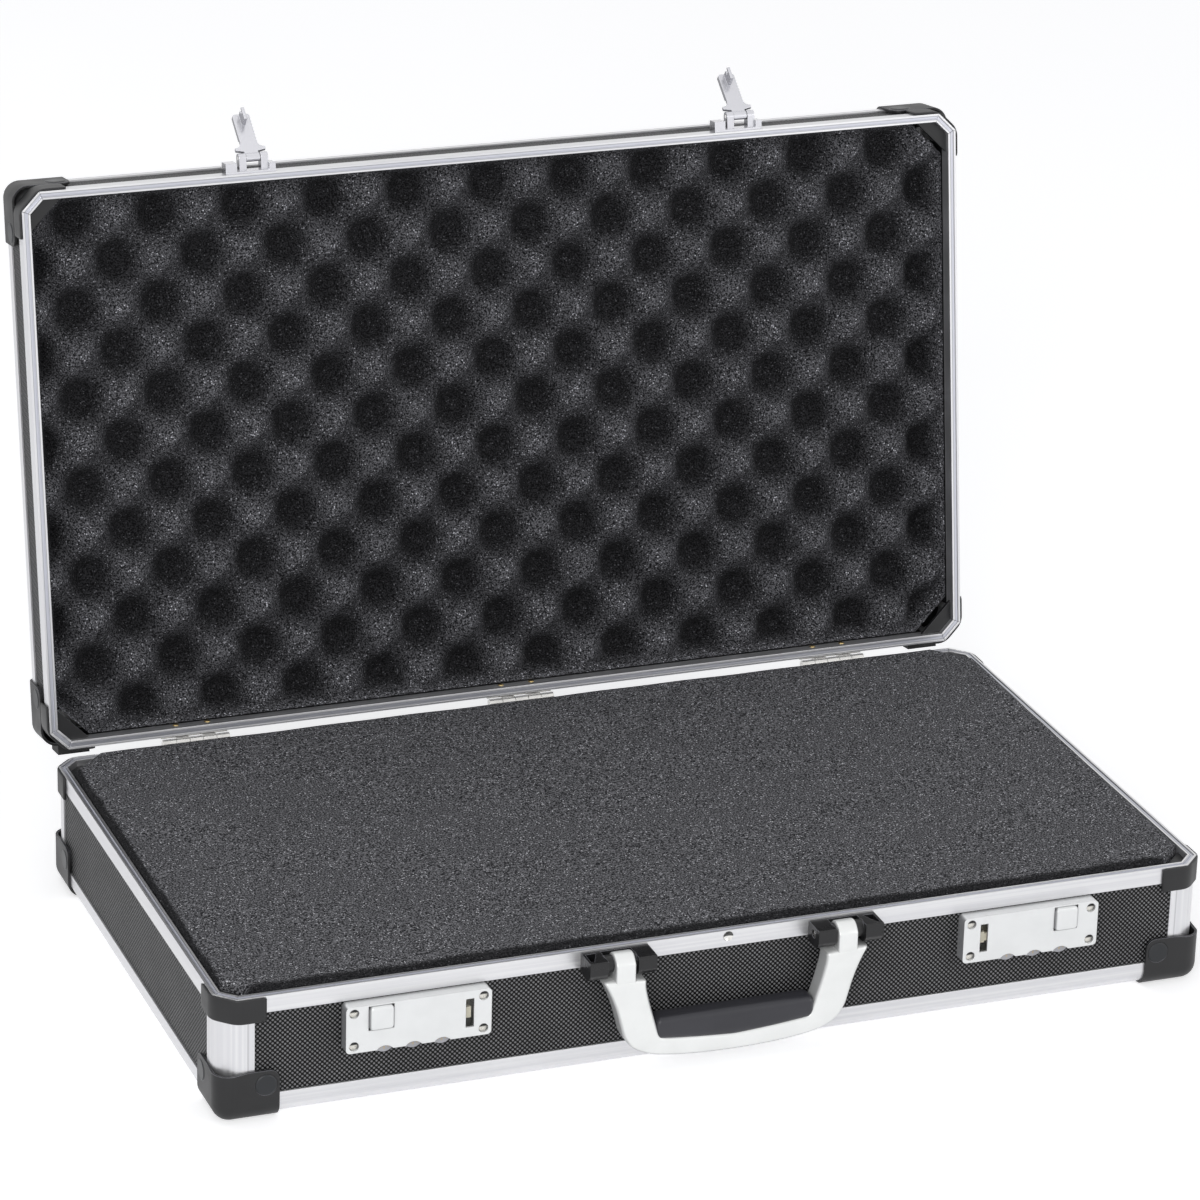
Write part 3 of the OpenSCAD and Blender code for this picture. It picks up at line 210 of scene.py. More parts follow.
# Aluminium frame: the rims, edge rails and corner posts of base and lid are satin
# anodised extrusions, mitred at the rim corners, with fine die lines along their length.
# A pair of distances named fade runs from nothing at the first to full at the second.
case_centre = (0.0, 0.042514, 0.0)
hinge_axis = (0.0, 0.131386, 0.075)
lid_open = math.radians(98.6)
shell_half_width, shell_half_depth = 0.300, 0.170
rim_plane, lid_plane = 0.076, 0.0764
frame_colour = (0.72, 0.72, 0.73, 1)
frame_dark = (0.64, 0.64, 0.66, 1)
# The rim face's grey band and its two thin dark lines are painted shade.
band_shade_colour = (0.50, 0.51, 0.57, 1)
rim_cut = 0.011
# A thin darker line of painted shade lies where a post's flat side meets its round.
round_start, round_shade_fade, round_shade_share = 0.0172, (0.0006, 0.0002), 0.55
face_fade = (0.0014, 0.0010)
band_middle, band_fade, band_share = 0.0026, (0.0012, 0.0009), 0.85
line_offset, line_fade, line_share = 0.0011, (0.0003, 0.0001), 0.6
die_waves_along, die_waves_across = 3.0, 520.0
noise_range, cloud_range = (0.3, 0.7), (0.35, 0.7)
bevel_samples = 6


def new_finish(name, **sockets):
    """A material with one shader, whose sockets that are the same all over are set here."""
    finish = bpy.data.materials.new(name)
    finish.use_nodes = True
    shader = finish.node_tree.nodes["Principled BSDF"]
    for socket, value in sockets.items():
        shader.inputs[socket.replace("_", " ")].default_value = value
    return finish, finish.node_tree, shader


def case_point(tree, on_lid):
    """The surface's point in the closed case's own frame, centred on the case: the lid's
    points are turned shut about the hinge axis first."""
    place = own_point(tree)
    if on_lid:
        place = add_node(tree, "VectorRotate", {"Vector": place, "Center": hinge_axis, "Angle": lid_open},
                         rotation_type="X_AXIS").outputs[0]
    return add_node(tree, "VectorMath", {0: place, 1: case_centre}, operation="ADD").outputs[0]


def ramp(tree, value, low, high, out_low=0.0, out_high=1.0):
    """A number carried smoothly from the range low..high to out_low..out_high."""
    return add_node(tree, "MapRange", {0: value, 1: low, 2: high, 3: out_low, 4: out_high},
                    interpolation_type="SMOOTHSTEP").outputs[0]


def apart(tree, value, level):
    """How far a number is from a level, either way."""
    return calc(tree, "ABSOLUTE", calc(tree, "SUBTRACT", value, level))


def raise_surface(tree, shader, height, depth, soft_edge=0.0):
    """Bumps the shader by a height of 0..1 that is depth metres deep, on edges rounded over
    the radius soft_edge."""
    bump = add_node(tree, "Bump", {"Height": height, "Distance": depth, "Strength": 1.0})
    if soft_edge:
        rounded = add_node(tree, "Bevel", {"Radius": soft_edge}, samples=bevel_samples)
        tree.links.new(rounded.outputs[0], bump.inputs["Normal"])
    tree.links.new(bump.outputs[0], shader.inputs["Normal"])


def cover(node_name, finish):
    """Gives a CAD node one material in place of its plain one."""
    parts[node_name].data.materials.clear()
    parts[node_name].data.materials.append(finish)


def from_sides(tree, point):
    """The point's coordinates, and its distances behind the nearest side wall and behind the
    nearest long wall."""
    axes = add_node(tree, "SeparateXYZ", {0: point}).outputs
    to_side = calc(tree, "SUBTRACT", shell_half_width, calc(tree, "ABSOLUTE", axes[0]))
    to_long = calc(tree, "SUBTRACT", shell_half_depth, calc(tree, "ABSOLUTE", axes[1]))
    return axes, to_side, to_long


def by_wall(tree, to_side, to_long, at_side, at_long):
    """The number at_side where a side wall is nearest, and at_long where a long wall is."""
    long_wall = calc(tree, "GREATER_THAN", to_side, to_long)
    return add_node(tree, "Mix", {0: long_wall, 2: at_side, 3: at_long}).outputs[0]


def extruded_finish(name, on_lid, upright):
    """Satin metal with die lines: noise that is long along the extrusion and fine across it.
    On a post, a faint line of painted shade lies where its round begins, round_start from the corner,
    and on a rim's face a grey band of painted shade runs along it between two thin lines of painted shade."""
    finish, tree, shader = new_finish(name, Metallic=0.85, Specular_IOR_Level=0.5)
    point = case_point(tree, on_lid)
    axes, to_side, to_long = from_sides(tree, point)
    along = by_wall(tree, to_side, to_long, axes[1], axes[0])
    across = by_wall(tree, to_side, to_long, axes[0], axes[1])
    run, side = (axes[2], along) if upright else (along, axes[2])
    stretched = add_node(tree, "CombineXYZ", {0: calc(tree, "MULTIPLY", run, die_waves_along),
                                              1: calc(tree, "MULTIPLY", across, die_waves_across),
                                              2: calc(tree, "MULTIPLY", side, die_waves_across)})
    lines = add_node(tree, "TexNoise", {"Vector": stretched.outputs[0], "Scale": 1.0, "Detail": 4.0,
                                        "Roughness": 0.6}).outputs[0]
    clouds = noise(tree, point, 20.0, 3.0)
    mixed = calc(tree, "ADD", calc(tree, "MULTIPLY", lines, 0.85), calc(tree, "MULTIPLY", clouds, 0.15))
    colour = shades(tree, ramp(tree, mixed, 0.66, 0.38), frame_colour, frame_dark)
    if upright:
        # Painted shade: a thin dark line where the post's round begins.
        off_round_start = apart(tree, calc(tree, "MAXIMUM", to_side, to_long), round_start)
        seam = ramp(tree, off_round_start, *round_shade_fade, 0.0, round_shade_share)
        colour = shades(tree, seam, colour, dimmed(frame_dark, 0.6))
    else:
        # Painted shade: a grey band along the rim's face between two thin dark lines.
        past_cut = calc(tree, "SUBTRACT", calc(tree, "ADD", to_side, to_long), rim_cut)
        to_cut = calc(tree, "MULTIPLY", past_cut, math.sqrt(0.5))
        reach = calc(tree, "MINIMUM", calc(tree, "MINIMUM", to_side, to_long), to_cut)
        on_face = ramp(tree, apart(tree, axes[2], (rim_plane + lid_plane) / 2), *face_fade)
        from_band = apart(tree, reach, band_middle)
        band = calc(tree, "MULTIPLY", on_face, ramp(tree, from_band, *band_fade, 0.0, band_share))
        from_line = apart(tree, from_band, line_offset)
        line = calc(tree, "MULTIPLY", on_face, ramp(tree, from_line, *line_fade, 0.0, line_share))
        colour = shades(tree, line, shades(tree, band, colour, band_shade_colour), dimmed(band_shade_colour, 0.3))
    tree.links.new(colour, shader.inputs["Base Color"])
    tree.links.new(ramp(tree, lines, *noise_range, 0.28, 0.42), shader.inputs["Roughness"])
    raise_surface(tree, shader, lines, 0.000006, 0.0004)
    return finish


for half, on_lid in (("base", False), ("lid", True)):
    rim_finish = extruded_finish(half + "_rim_aluminium", on_lid, False)
    cover(half + "_rim", rim_finish)
    cover(half + "_edge_rails", rim_finish)
    cover(half + "_corner_posts", extruded_finish(half + "_post_aluminium", on_lid, True))


# Panels: black laminated board pressed all over with round pits on a close diamond
# lattice. They slide into the frame's grooves and are held by its lips.
pit_pitch, pit_depth = 0.00287, 0.00025
pit_start, pit_full = -0.30, -0.06
board_inside, inside_fade = 0.0018, 0.0003
panel_ridge = (0.200, 0.200, 0.205, 1)
panel_pit = (0.002, 0.002, 0.002, 1)
inner_shade_colour = (0.012, 0.012, 0.013, 1)
wall_boards = {"base": ("base_front_panel", "base_rear_panel", "base_side_panels"),
               "lid": ("lid_wall_panels",)}
flat_boards = {"base": "base_bottom_panel", "lid": "lid_top_panel"}


def pitted_finish(name, on_lid, flat):
    """Pits where cos(2 pi u / pitch) times cos(2 pi v / pitch) is high, which is a lattice of
    round spots with every second row set over by half a pitch. A wall's inner face is painted
    near black, as shade."""
    finish, tree, shader = new_finish(name, Specular_IOR_Level=0.15)
    point = case_point(tree, on_lid)
    axes, to_side, to_long = from_sides(tree, point)
    along = by_wall(tree, to_side, to_long, axes[1], axes[0])
    u, v = (axes[0], axes[1]) if flat else (along, axes[2])
    waves = [calc(tree, "COSINE", calc(tree, "MULTIPLY", w, 2 * math.pi / pit_pitch)) for w in (u, v)]
    pits = ramp(tree, calc(tree, "MULTIPLY", *waves), pit_start, pit_full)
    grain = noise(tree, point, 1400.0, 2.0)
    wear = noise(tree, point, 30.0, 3.0)
    ridge = shades(tree, ramp(tree, wear, *cloud_range), panel_ridge, dimmed(panel_ridge, 0.84))
    tint = shades(tree, pits, ridge, panel_pit)
    # Painted shade: a wall's inner face is near black.
    if not flat:
        behind = calc(tree, "MINIMUM", to_side, to_long)
        inside = ramp(tree, behind, board_inside - inside_fade, board_inside)
        tint = shades(tree, inside, tint, inner_shade_colour)
    tree.links.new(tint, shader.inputs["Base Color"])
    tree.links.new(ramp(tree, grain, *noise_range, 0.45, 0.60), shader.inputs["Roughness"])
    height = calc(tree, "SUBTRACT", calc(tree, "MULTIPLY", grain, 0.12), pits)
    raise_surface(tree, shader, height, pit_depth)
    return finish


for half, on_lid in (("base", False), ("lid", True)):
    wall_board = pitted_finish(half + "_wall_board", on_lid, False)
    for board in wall_boards[half]:
        cover(board, wall_board)
    cover(flat_boards[half], pitted_finish(half + "_flat_board", on_lid, True))


# Corner protectors and their press rivets: dark moulded plastic with a fine matt
# grain, and a painted highlight on the protectors' upward edges. The rivets press through into the posts.
protector_colour = (0.015, 0.015, 0.016, 1)
rivet_colour = (0.016, 0.018, 0.021, 1)
edge_shine = (0.32, 0.32, 0.36, 1)


def moulded_finish(name, colour, rough, grain_size, grain_depth, soft_edge, shine=0.0):
    """Moulded plastic: a fine noise grain in height, a slow noise in colour and gloss. Where
    the rounded edge turns away from the flat face and looks up, the colour is paler by shine,
    which is painted in to match the photograph."""
    finish, tree, shader = new_finish(name, Specular_IOR_Level=0.4)
    point = own_point(tree)
    grain = noise(tree, point, 1.0 / grain_size, 2.0)
    clouds = noise(tree, point, 45.0, 4.0)
    tint = shades(tree, ramp(tree, clouds, *noise_range), colour, dimmed(colour, 0.84))
    if shine:
        rounded = add_node(tree, "Bevel", {"Radius": soft_edge}, samples=bevel_samples).outputs[0]
        flat = add_node(tree, "NewGeometry").outputs["Normal"]
        turn = add_node(tree, "VectorMath", {0: rounded, 1: flat}, operation="DOT_PRODUCT").outputs["Value"]
        up = ramp(tree, add_node(tree, "SeparateXYZ", {0: rounded}).outputs[2], 0.15, 0.8)
        edge = calc(tree, "MULTIPLY", ramp(tree, turn, 0.995, 0.90), up)
        tint = shades(tree, calc(tree, "MULTIPLY", edge, shine), tint, edge_shine)
    tree.links.new(tint, shader.inputs["Base Color"])
    gloss = ramp(tree, clouds, *noise_range, rough - 0.05, rough + 0.05)
    tree.links.new(gloss, shader.inputs["Roughness"])
    raise_surface(tree, shader, grain, grain_depth, soft_edge)
    return finish


# The protectors' upward edges carry a painted highlight.
protector_plastic = moulded_finish("protector_plastic", protector_colour, 0.46, 0.0005, 0.00003, 0.0007, 0.7)
rivet_plastic = moulded_finish("rivet_plastic", rivet_colour, 0.40, 0.0005, 0.00002, 0.0003)
for half in ("base", "lid"):
    cover(half + "_corner_caps", protector_plastic)
    cover(half + "_corner_rivets", rivet_plastic)


# Rim clips: the same plastic, folded round each corner of a rim with soft edges. They
# hide the ends of the rim's long extrusions.
clip_reach, clip_wall = 0.0275, 0.0015
clip_top, clip_low = 0.0004, 0.0150
clip_bend, clip_round = 0.0042, 0.0005
clip_clear = 0.00002
clip_end_short, clip_end_thin = 0.00045, 0.3


def closed_round(points):
    """The grid with its first column repeated at its end, so that it meets itself."""
    return np.concatenate([points, points[:, :1]], axis=1)


def capped(points):
    """The grid with a row at each end drawn together in the middle of its end row."""
    ends = [np.broadcast_to(row.mean(axis=0), row.shape)[None] for row in (points[0], points[-1])]
    return np.concatenate([ends[0], points, ends[1]])


def quadratic(start, middle, end, count):
    """Bezier curve of three points: (1-t)^2 start + 2t(1-t) middle + t^2 end."""
    t = np.linspace(0, 1, count)[:, None]
    return (1 - t) ** 2 * np.array(start) + 2 * t * (1 - t) * np.array(middle) + t ** 2 * np.array(end)


def rounded_section(half_a, half_b, radius, per_corner):
    """Points round a rectangle with rounded corners, for a column of half sizes: a quarter
    circle of per_corner points at each corner, and two points along each straight side."""
    half_a, half_b = np.broadcast_arrays(np.asarray(half_a, float), np.asarray(half_b, float))
    turn = np.linspace(0, math.pi / 2, per_corner)[None, :] + math.pi / 2 * np.arange(4)[:, None]
    sign_a, sign_b = np.array([1, -1, -1, 1])[:, None], np.array([1, 1, -1, -1])[:, None]
    a = sign_a * (half_a[:, None, None] - radius) + radius * np.cos(turn)
    b = sign_b * (half_b[:, None, None] - radius) + radius * np.sin(turn)
    run = np.array([1 / 3, 2 / 3])
    sides = [w[:, :, -1:] + (np.roll(w, -1, axis=1)[:, :, :1] - w[:, :, -1:]) * run for w in (a, b)]
    return tuple(np.concatenate([w, s], axis=2).reshape(len(half_a), -1) for w, s in zip((a, b), sides))


def opened(closed):
    """Points of the closed case, turned open with the lid about the hinge axis:
    y' = y cos a + z sin a and z' = z cos a - y sin a, from the axis."""
    y, z = closed[..., 1] - hinge_axis[1], closed[..., 2] - hinge_axis[2]
    cosine, sine = math.cos(lid_open), math.sin(lid_open)
    return np.stack([closed[..., 0], hinge_axis[1] + y * cosine + z * sine,
                     hinge_axis[2] + z * cosine - y * sine], -1)


slant = clip_bend * math.sqrt(0.5)
bend_end = rim_cut + clip_bend
plan = np.concatenate([
    np.linspace([clip_reach, 0], [bend_end, 0], 8)[:-1],
    quadratic((bend_end, 0), (rim_cut, 0), (rim_cut - slant, slant), 9),
    np.linspace([rim_cut - slant, slant], [slant, rim_cut - slant], 5)[1:-1],
    quadratic((slant, rim_cut - slant), (0, rim_cut), (0, bend_end), 9),
    np.linspace([0, bend_end], [0, clip_reach], 8)[1:]])
ways = np.gradient(plan, axis=0)
ways = ways / np.linalg.norm(ways, axis=1, keepdims=True)
drawn_in = np.zeros(len(plan))
drawn_in[[0, -1]] = clip_end_short
across_clip, down_clip = rounded_section(clip_wall / 2 - clip_end_thin * drawn_in,
                                         (clip_low - clip_top) / 2 - drawn_in, clip_round, 5)
out = across_clip + clip_wall / 2 + clip_clear
clip_x = plan[:, :1] - ways[:, 1:] * out
clip_y = plan[:, 1:] + ways[:, :1] * out
clip_z = (clip_low + clip_top) / 2 + down_clip
for half, flip, level, body in (("base", -1, rim_plane, "case_base"), ("lid", 1, lid_plane, "lid")):
    corners = []
    for side_x in (-1, 1):
        for side_y in (-1, 1):
            corner = np.stack([side_x * (shell_half_width - clip_x),
                               side_y * (shell_half_depth - clip_y) - case_centre[1],
                               level + flip * clip_z], -1)
            corners.append(capped(closed_round(corner if half == "base" else opened(corner))))
    clips = grid_piece(half + "_corner_clips", *corners)
    # The clips share the protectors' painted highlight on upward edges.
    clips.data.materials.append(protector_plastic)
    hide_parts(half + "_rim_clips")
    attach(clips, body)


# Gusset plates inside the rim corners: black plastic with a slight gloss, pushed
# under the rim. The rear protectors carry rubber feet to stand the case on.
gusset_colour = (0.012, 0.012, 0.013, 1)
rubber_colour = (0.022, 0.022, 0.023, 1)
# The gussets carry a weaker painted highlight on their upward edges.
gusset_plastic = moulded_finish("gusset_plastic", gusset_colour, 0.42, 0.0006, 0.00003, 0.0004, 0.4)
rubber = moulded_finish("foot_rubber", rubber_colour, 0.66, 0.0004, 0.00005, 0.0008)
for half in ("base", "lid"):
    cover(half + "_corner_gussets", gusset_plastic)
    cover(half + "_rear_feet", rubber)


# Metal small parts: pins, axles, springs, back plates and hinge leaves are nickel plated
# steel, the handle brackets' screws are black, and the hinges' rivets are brass.
plated_colour = (0.72, 0.71, 0.69, 1)
brass_colour = (0.70, 0.53, 0.25, 1)
black_colour = (0.030, 0.030, 0.032, 1)
small_edge = 0.00025


def plated_finish(name, colour, rough):
    """Plated metal with faint clouds in its gloss and a fine grain."""
    finish, tree, shader = new_finish(name, Metallic=1.0)
    clouds = noise(tree, own_point(tree), 180.0, 4.0)
    tint = shades(tree, ramp(tree, clouds, *cloud_range), colour, dimmed(colour, 0.86))
    gloss = ramp(tree, clouds, *noise_range, rough - 0.05, rough + 0.08)
    tree.links.new(tint, shader.inputs["Base Color"])
    tree.links.new(gloss, shader.inputs["Roughness"])
    raise_surface(tree, shader, clouds, 0.00003, small_edge)
    return finish


plated_steel = plated_finish("plated_steel", plated_colour, 0.24)
for small in ("handle_pins", "lock_left_backplate", "lock_right_backplate", "dial_axles",
              "button_springs", "hinge_base_leaves", "hinge_lid_leaves", "hinge_pins", "hasp_pins",
              "hasp_rivets"):
    cover(small, plated_steel)
brass = plated_finish("brass", brass_colour, 0.34)
cover("hinge_base_rivets", brass)
cover("hinge_lid_rivets", brass)
cover("handle_bracket_screws", plated_finish("black_steel", black_colour, 0.35))


# Front stud: a bright nickel eyelet pressed into the middle of the rim's front. It is
# turned: a profile of radii and depths, in mm here, is carried round its axis. Its upper
# half is painted dark, in place of a reflection.
front_plane = -0.212514
stud_height = rim_plane - 0.0037
stud_profile = np.array([[0, -0.35], [1.0, -0.3], [1.7, -0.15], [2.2, 0.1], [2.5, 0.27], [2.7, 0.3],
                         [2.85, 0.15], [2.9, -0.2], [2.9, -1.2], [0, -1.2]]) / 1000
nickel_light, nickel_dark = (0.80, 0.79, 0.76, 1), (0.66, 0.65, 0.62, 1)
shadow_colour = (0.02, 0.02, 0.02, 1)
shadow_start, shadow_full, shadow_share = -0.0002, 0.0004, 0.9

round_turn = np.linspace(0, 2 * math.pi, 37)[None, :]
radius, reach = stud_profile[:, :1], stud_profile[:, 1:]
stud_rings = np.stack([radius * np.cos(round_turn), front_plane - reach + 0 * round_turn,
                       stud_height + radius * np.sin(round_turn)], -1)
stud = grid_piece("front_stud_eyelet", stud_rings)
stud_finish, stud_tree, stud_shader = new_finish("stud_nickel", Metallic=1.0)
stud_point = own_point(stud_tree)
stud_level = add_node(stud_tree, "SeparateXYZ", {0: stud_point}).outputs[2]
stud_shadow = ramp(stud_tree, stud_level, stud_height + shadow_start, stud_height + shadow_full,
                   0.0, shadow_share)
stud_wear = noise(stud_tree, stud_point, 900.0, 3.0)
stud_metal = shades(stud_tree, ramp(stud_tree, stud_wear, *cloud_range), nickel_light, nickel_dark)
stud_tint = shades(stud_tree, stud_shadow, stud_metal, shadow_colour)
stud_gloss = ramp(stud_tree, stud_wear, *noise_range, 0.10, 0.20)
stud_tree.links.new(stud_tint, stud_shader.inputs["Base Color"])
stud_tree.links.new(stud_gloss, stud_shader.inputs["Roughness"])
stud.data.materials.append(stud_finish)
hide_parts("front_stud")
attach(stud, "case_base")


# Base foam: one block of fine black foam, cut to the shell with clipped corners. It
# stands above the rim by 2 mm at the front and 5 mm at the rear, with a low crown between,
# and its cut edge rolls over: so far in from the outline, it lies so far below the top.
foam_half_width, foam_half_depth, foam_clip = 0.2942, 0.1642, 0.021
foam_floor = 0.0068
foam_front, foam_rear, foam_crown = 0.0020, 0.0050, 0.0014
edge_inset = np.array([0, 0.8, 2.4, 5, 12, 30, 60, 100, 148, 163]) / 1000
edge_drop = np.array([-3.2, -1.7, -0.7, -0.2, 0, 0, 0, 0, 0, 0]) / 1000
least_clip, clip_shrink = 0.0005, 0.586
slow_wobble, fine_wobble = 0.0003, 0.0002
fleck_share = 0.15
# A painted shadow darkens the foam's front and left edges.
edge_fade, edge_share, edge_wander = (0.0115, 0.0065), 0.88, 0.006


def smooth_path(knots, per_knot):
    """Catmull-Rom curve through the knots: each point is a cubic of its four nearest knots."""
    padded = np.concatenate([2 * knots[:1] - knots[1:2], knots, 2 * knots[-1:] - knots[-2:-1]])
    t = (np.arange(per_knot) / per_knot)[None, :, None]
    a, b, c, d = (padded[k:len(padded) - 3 + k][:, None, :] for k in range(4))
    curve = 0.5 * (2 * b + (c - a) * t + (2 * a - 5 * b + 4 * c - d) * t ** 2
                   + (3 * b - a - 3 * c + d) * t ** 3)
    return np.concatenate([curve.reshape(-1, knots.shape[1]), knots[-1:]])


def clipped_outline(inset, clip, steps):
    """Points round a rectangle with clipped corners, drawn in by inset: an array (insets,
    points, 2) that runs anticlockwise from the front left. A clip is shorter by clip_shrink
    times the inset, which is 2 less the root of 2, so that its cut is drawn in alike."""
    x, y = foam_half_width - inset, foam_half_depth - inset
    c = np.maximum(least_clip, clip - clip_shrink * inset)
    places = ((c - x, -y), (x - c, -y), (x, c - y), (x, y - c),
              (x - c, y), (c - x, y), (-x, y - c), (-x, c - y))
    corners = np.stack([np.stack(place, -1) for place in places], 1)
    after = np.roll(corners, -1, axis=1)
    sides = [corners[:, k:k + 1] + (after - corners)[:, k:k + 1] * (np.arange(n) / n)[None, :, None]
             for k, n in enumerate(steps)]
    return np.concatenate(sides, axis=1)


roll = smooth_path(np.stack([edge_inset, edge_drop], -1), 5)
roll = np.concatenate([[[0, foam_floor - rim_plane]], roll])
outline = clipped_outline(roll[:, 0], foam_clip, (90, 6, 50, 6, 90, 6, 50, 6))
wide, deep = outline[..., 0] / foam_half_width, outline[..., 1] / foam_half_depth
rise = (foam_front + foam_rear) / 2 + (foam_rear - foam_front) / 2 * deep
rise = rise + foam_crown * (1 - wide ** 2) * (1 - deep ** 2)
rise = rise + slow_wobble * np.sin(11 * wide + 2) * np.sin(9 * deep + 1)
rise = rise + fine_wobble * np.sin(31 * wide) * np.sin(23 * deep)
rise[0] = 0
block = np.stack([outline[..., 0], outline[..., 1] - case_centre[1], rim_plane + roll[:, 1:] + rise], -1)
base_foam = grid_piece("base_foam_block", capped(closed_round(block)))


def foam_finish(name, on_lid, pore_dark, pore_light, fleck, shadow):
    """Open-cell foam: noise of cell size gives the pores' light and dark, and a share of random
    cells are bright flecks, where a cut cell wall catches the light. shadow is the function
    that gives the share of near black over them, painted in to match the photograph."""
    finish, tree, shader = new_finish(name, Roughness=0.92, Specular_IOR_Level=0.12)
    point = case_point(tree, on_lid)
    pores = add_node(tree, "TexNoise", {"Vector": point, "Scale": 980.0, "Detail": 2.0,
                                        "Roughness": 0.7}).outputs[0]
    cells = add_node(tree, "TexVoronoi", {"Vector": point, "Scale": 1000.0})
    chosen = add_node(tree, "SeparateColor", {0: cells.outputs["Color"]}).outputs[0]
    near = ramp(tree, cells.outputs["Distance"], 0.55, 0.25)
    flecks = calc(tree, "MULTIPLY", ramp(tree, chosen, 1 - fleck_share, 1.0), near)
    tint = shades(tree, ramp(tree, pores, 0.41, 0.61), pore_dark, pore_light)
    tint = shades(tree, flecks, tint, fleck)
    tint = shades(tree, shadow(tree, point), tint, dimmed(pore_dark, 0.4))
    tree.links.new(tint, shader.inputs["Base Color"])
    raise_surface(tree, shader, pores, 0.0005)
    return finish


def edge_shadow(tree, point):
    """A painted shadow, full near the front edge and, half as far in, near the left one. Slow
    noise makes the line where it fades out uneven."""
    place = add_node(tree, "SeparateXYZ", {0: point}).outputs
    to_front = calc(tree, "ADD", place[1], foam_half_depth)
    to_left = calc(tree, "MULTIPLY", calc(tree, "ADD", place[0], foam_half_width), 2.0)
    uneven = calc(tree, "MULTIPLY", noise(tree, point, 45.0, 2.0), edge_wander)
    near_edge = calc(tree, "ADD", calc(tree, "MINIMUM", to_front, to_left), uneven)
    return ramp(tree, near_edge, *edge_fade, 0.0, edge_share)


base_foam_cells = foam_finish("base_foam_cells", False, (0.011, 0.011, 0.013, 1),
                              (0.215, 0.215, 0.228, 1), (0.85, 0.85, 0.90, 1), edge_shadow)
base_foam.data.materials.append(base_foam_cells)
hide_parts("base_foam")
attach(base_foam, "case_base")


# Lid foam: a block of convoluted foam glued into the lid, its free face a staggered
# field of round bumps and hollows inside a raised border.
lid_depth, foam_seat, bump_gap = 0.045, 0.0053, 0.0062
bump_pitch, bump_row, bump_depth = 0.0524, 0.0274, 0.025
bump_offset, bump_row_offset = 0.0036, 0.012
border_level, border_width = 0.7, 0.010
across_steps, deep_steps = 300, 170
block_height = lid_depth - foam_seat - bump_gap
lid_foam_back = lid_plane + lid_depth - foam_seat
# Painted shadow in the hollows and on slopes that lean right or down.
hollow_fade, hollow_share = (0.0850, 0.1030), 0.82
lean_up, lean_right, lean_full, lean_share = 0.75, 0.65, -0.75, 0.40

deep = foam_half_depth * np.linspace(-1, 1, deep_steps)[:, None]
half_row = foam_half_width - np.maximum(0, np.abs(deep) - foam_half_depth + foam_clip)
wide = half_row * np.linspace(-1, 1, across_steps)[None, :]
swell = (np.cos(2 * math.pi * (wide + bump_offset) / bump_pitch)
         * np.cos(math.pi * (deep + bump_row_offset) / bump_row))
from_side, from_end = foam_half_depth - np.abs(deep), foam_half_width - np.abs(wide)
from_clip = (foam_half_width + foam_half_depth - foam_clip - np.abs(wide) - np.abs(deep)) * math.sqrt(0.5)
inset = np.minimum(np.minimum(from_end, from_side), from_clip)
swell = np.maximum(swell, border_level - (1 + border_level) * np.minimum(1, inset / border_width))
bumps = block_height - bump_depth / 2 * (1 - swell)
field = np.stack([wide, deep + 0 * wide, lid_foam_back - bumps], -1)
# One row of points round the field makes the block's sides, and a second closes its back.
for closing in (False, True):
    field = np.pad(field, ((1, 1), (1, 1), (0, 0)), mode="edge")
    ring = np.ones(field.shape[:2], bool)
    ring[1:-1, 1:-1] = False
    field[ring, 2] = lid_foam_back
    if closing:
        field[ring, :2] = 0
field[..., 1] -= case_centre[1]
lid_foam = grid_piece("lid_foam_block", opened(field))


def hollow_shadow(tree, point):
    """A painted shadow, full down in the hollows, and weaker on slopes that lean right or down.
    The slope is taken in the world's axes, so that part moves over the foam as the lid turns."""
    height = add_node(tree, "SeparateXYZ", {0: point}).outputs[2]
    facing = add_node(tree, "SeparateXYZ", {0: add_node(tree, "NewGeometry").outputs["Normal"]}).outputs
    lean = calc(tree, "SUBTRACT", calc(tree, "MULTIPLY", facing[2], lean_up),
                calc(tree, "MULTIPLY", facing[0], lean_right))
    return calc(tree, "MAXIMUM", ramp(tree, height, *hollow_fade, 0.0, hollow_share),
                ramp(tree, lean, 0.0, lean_full, 0.0, lean_share))


lid_foam_cells = foam_finish("lid_foam_cells", True, (0.006, 0.006, 0.007, 1),
                             (0.150, 0.150, 0.162, 1), (0.70, 0.70, 0.76, 1), hollow_shadow)
lid_foam.data.materials.append(lid_foam_cells)
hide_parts("lid_foam")
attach(lid_foam, "lid")


# Handle frame: one casting with a silver lacquer. Two flaring arms run into a bowed bar,
# and each arm ends in a neck with a round head on its pivot pin.
frame_back, frame_front = 0.0036, 0.0161
arm_in, arm_out = 0.0614, 0.0734
edge_round, bar_crown, neck_inset = 0.0022, 0.0004, 0.0007
head_edge = 0.0012
cast_colour, cast_shade = (0.87, 0.88, 0.87, 1), (0.10, 0.10, 0.11, 1)
# The inner and the outer edge of one arm, from its neck to the middle of the bar: each row
# is x and the height from the rim on the inner edge, and the same on the outer one, in mm.
arm_pairs = np.array([
    [54.7, -15.7, 80.5, -14.3], [54.4, -21.0, 77.0, -21.0], [52.9, -28.0, 73.8, -28.6],
    [51.1, -34.6, 71.4, -35.8], [49.2, -41.0, 69.4, -43.2], [47.3, -47.2, 67.2, -50.2],
    [45.6, -51.6, 62.6, -56.9], [43.4, -53.4, 55.0, -61.6], [36.0, -54.4, 44.0, -64.6],
    [22.0, -55.6, 24.0, -66.8], [0.0, -57.0, 0.0, -67.5]]) / 1000
